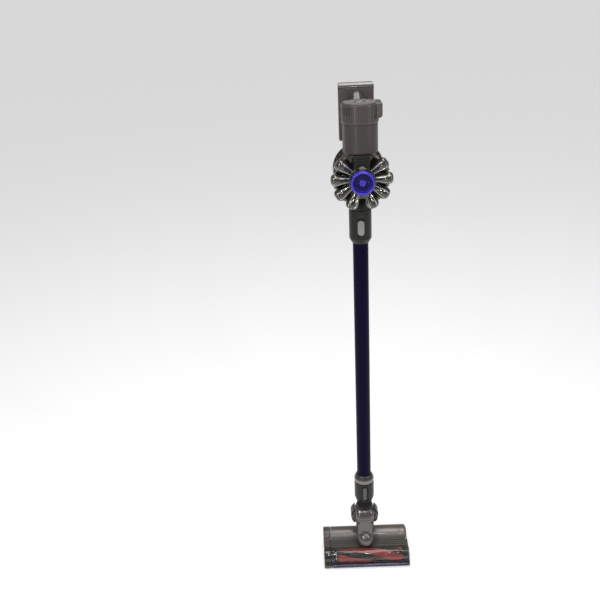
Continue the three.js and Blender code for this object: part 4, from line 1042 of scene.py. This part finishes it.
# ---- Brush ----
def brush(black, red, carbon):
    core = turned([(0, -107), (4, -107), (4, -76), (10.4, -75.8), (10.9, -74), (10.9, 92), (10.4, 93.8),
                   (4, 94), (4, 107), (0, 107)],
                  "x", BRUSH, corner=0.4, steps=72)
    shaped("brush_barrel", core, "brush", black, ["brush_core"])
    low, high, spots = -73.5, 91.5, 84
    rows = ((0, red, 17.2, 7), (180, red, 17.2, 7), (90, carbon, 15.2, 1), (270, carbon, 15.2, 1))
    for row, (start, made, height, lanes) in enumerate(rows):
        tufts = bmesh.new()
        for i in range(spots):
            x = low + (high - low) * (i + 0.5) / spots
            twist = start + 205 * (x - 9) / (high - low)
            for lane in range(-lanes, lanes + 1):
                tip = height - random.uniform(0, 0.7) - 0.5 * (abs(lane) / max(1, lanes)) ** 2
                verts = bmesh.ops.create_cone(tufts, cap_ends=True, segments=5, radius1=1.0, radius2=0.8,
                                              depth=tip - 10.6)["verts"]
                spun = Matrix.Rotation(math.radians(twist + lane * 5.6 + random.uniform(-1, 1)), 4, "X")
                up = Matrix.Translation((0, 0, (tip + 10.6) / 2))
                slip = Matrix.Translation((x + random.uniform(-0.3, 0.3), 0, 0))
                bmesh.ops.transform(tufts, matrix=slip @ spun @ up, verts=verts)
        bmesh.ops.translate(tufts, vec=(0, BRUSH[0], BRUSH[1]), verts=tufts.verts)
        cad = [f"bristle_strip_{row + 1}"] if row < 2 else ()
        shaped(f"bristle_row_{row + 1}", tufts, "brush", made, cad)


# ---- The whole vacuum ----
def build():
    casing = finish("casing_grey_moulding", (0.040, 0.033, 0.032), 0.40, grain=1600, bump=0.08, coat=0.1,
                    shine=0.35)
    cap_grey = finish("exhaust_grey_moulding", (0.054, 0.045, 0.042), 0.34, grain=1600, bump=0.07,
                      coat=0.15, shine=0.4)
    brown = finish("end_cap_brown_moulding", (0.074, 0.058, 0.052), 0.36, grain=1600, bump=0.08, coat=0.1)
    strip = finish("deck_strip_moulding", (0.072, 0.067, 0.059), 0.42, grain=1600, bump=0.08, shine=0.4)
    gloss = finish("handle_gloss_moulding", (0.026, 0.023, 0.022), 0.22, grain=170, bump=1.0, coat=0.25,
                   mottle=0.5)
    pale = finish("pale_grey_moulding", (0.17, 0.155, 0.145), 0.28, grain=1500, coat=0.4)
    # Pale grey for the strip on the battery's top edge: a painted highlight.
    band = finish("painted_highlight_band_moulding", (0.30, 0.285, 0.27), 0.3, grain=1500, coat=0.3)
    silver = finish("silver_grey_paint", (0.085, 0.074, 0.071), 0.22, metal=0.35, coat=1.0, grain=2600,
                    bump=0.03, mottle=0.05)
    cover = finish("hub_grey_paint", (0.040, 0.036, 0.034), 0.34, metal=0.2, coat=0.2, grain=2600,
                   bump=0.03, mottle=0.05)
    drum_paint = finish("drum_grey_paint", (0.15, 0.135, 0.125), 0.38, metal=0.5, coat=0.25, grain=2600,
                        bump=0.02, mottle=0.05)
    black = finish("collar_black_moulding", (0.008, 0.008, 0.007), 0.36, grain=1700, bump=0.08, wear=0.12,
                   shine=0.3)
    dark = finish("soft_black_rubber", (0.006, 0.006, 0.006), 0.6, grain=900, bump=0.2, wear=0.1, shine=0.3)
    smoke = finish("smoked_cone_plastic", (0.060, 0.055, 0.046), 0.07, metal=0.6, coat=1.0, clear=0.2,
                   grain=300, bump=0.01,
                   mottle=0.2, wear=0.5, spread_rough=0.03)
    # Pale polished finish for the cone ridges: a painted highlight along each cone's sides.
    rail = finish("rail_plastic_painted_highlight", (0.55, 0.53, 0.47), 0.09, metal=0.7, coat=1.0, grain=300,
                  bump=0.01, mottle=0.1, wear=0.3,
                  spread_rough=0.03)
    smoke_dark = finish("smoked_hub_plastic", (0.014, 0.013, 0.011), 0.10, coat=1.0, grain=400, bump=0.02,
                        mottle=0.1)
    bin_clear = finish("smoked_bin_plastic", (0.16, 0.135, 0.12), 0.06, clear=0.85, grain=300, bump=0.008,
                       mottle=0.05, wear=0.0,
                       spread_rough=0.03, ior=1.3)
    blue = finish("filter_blue_moulding", (0.024, 0.013, 0.34), 0.24, coat=0.4, grain=1600, bump=0.05,
                  mottle=0.07, wear=0.8)
    # Darker blue for the bottom of the cap's well: painted shade in the recess.
    shaded_well_blue = finish("filter_well_blue_painted_shade", (0.003, 0.0008, 0.048), 0.34, grain=1600, bump=0.05, shine=0.25)
    purple = finish("wand_purple_anodising", (0.0022, 0.0002, 0.017), 0.4, grain=900, bump=0.03,
                    mottle=0.12,
                    stretch=(1, 1, 0.06), shine=0.07)
    button_grey = finish("button_grey_moulding", (0.20, 0.195, 0.185), 0.26, coat=0.5, grain=1500)
    button_brown = finish("button_brown_moulding", (0.062, 0.052, 0.050), 0.28, coat=0.4, grain=1500)
    tan = finish("tab_tan_moulding", (0.17, 0.15, 0.11), 0.35, coat=0.2, grain=1500)
    red = finish("red_moulding", (0.36, 0.012, 0.012), 0.30, coat=0.3, grain=1500)
    red_hair = finish("red_bristle", (0.78, 0.045, 0.028), 0.55, grain=700, bump=0.2, mottle=0.32, wear=0.3,
                      sheen=0.15)
    carbon = finish("carbon_bristle", (0.012, 0.011, 0.011), 0.6, grain=700, bump=0.2, mottle=0.2)
    navy = finish("lip_navy_moulding", (0.018, 0.014, 0.042), 0.26, coat=0.5, grain=1500, mottle=0.1)
    window = finish("smoked_window_plastic", (0.80, 0.78, 0.76), 0.04, clear=0.98, grain=300, bump=0.006,
                    mottle=0.04, wear=0.0,
                    spread_rough=0.02, ior=1.42)
    steel = finish("machined_steel", (0.52, 0.51, 0.50), 0.28, metal=1.0, grain=1200, bump=0.05,
                   stretch=(1, 1, 0.1), mottle=0.06)
    copper = finish("winding_copper", (0.55, 0.24, 0.10), 0.35, metal=1.0, grain=1800, bump=0.3,
                    stretch=(1, 1, 8), mottle=0.15)
    board = finish("board_green", (0.01, 0.12, 0.035), 0.4, coat=0.5, grain=2000, bump=0.05)
    foam = finish("filter_foam", (0.72, 0.69, 0.60), 0.95, grain=900, bump=0.9, mottle=0.2, wear=0.0)
    sleeve = finish("cell_sleeve", (0.03, 0.09, 0.42), 0.3, coat=0.4, grain=1200)

    carried = {
        steel: ["rotor_shaft", "impeller", "bin_hinge_pin", "brush_pulley", "motor_pulley", "brush_motor"],
        copper: ["motor_stator"], board: ["control_board"], foam: ["exhaust_foam", "filter_stick"],
        sleeve: [f"battery_cell_{i}" for i in range(1, 7)], dark: ["drive_belt"],
        black: ["gear_plate", "wand_wire_channel"],
    }
    for made, names in carried.items():
        for name in names:
            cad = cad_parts[name]
            cad.data.materials.clear()
            cad.data.materials.append(made)

    camera()
    studio()
    exhaust_cap(cap_grey, pale)
    motor_casing(casing, pale, black, tan)
    cyclones(smoke, rail, smoke_dark)
    filter_cap(blue, shaded_well_blue)
    bin_pieces(bin_clear, smoke_dark, red)
    shroud(steel)
    handle(gloss, dark, red, steel)
    battery(cap_grey, black, band, steel)
    wand(black, purple, pale, cover, dark, button_grey, button_brown)
    neck(black, silver, cover, dark)
    cleaner_head(drum_paint, strip, brown, window, navy, dark, smoke_dark)
    soleplate(black, dark)
    brush(black, red_hair, carbon)


build()
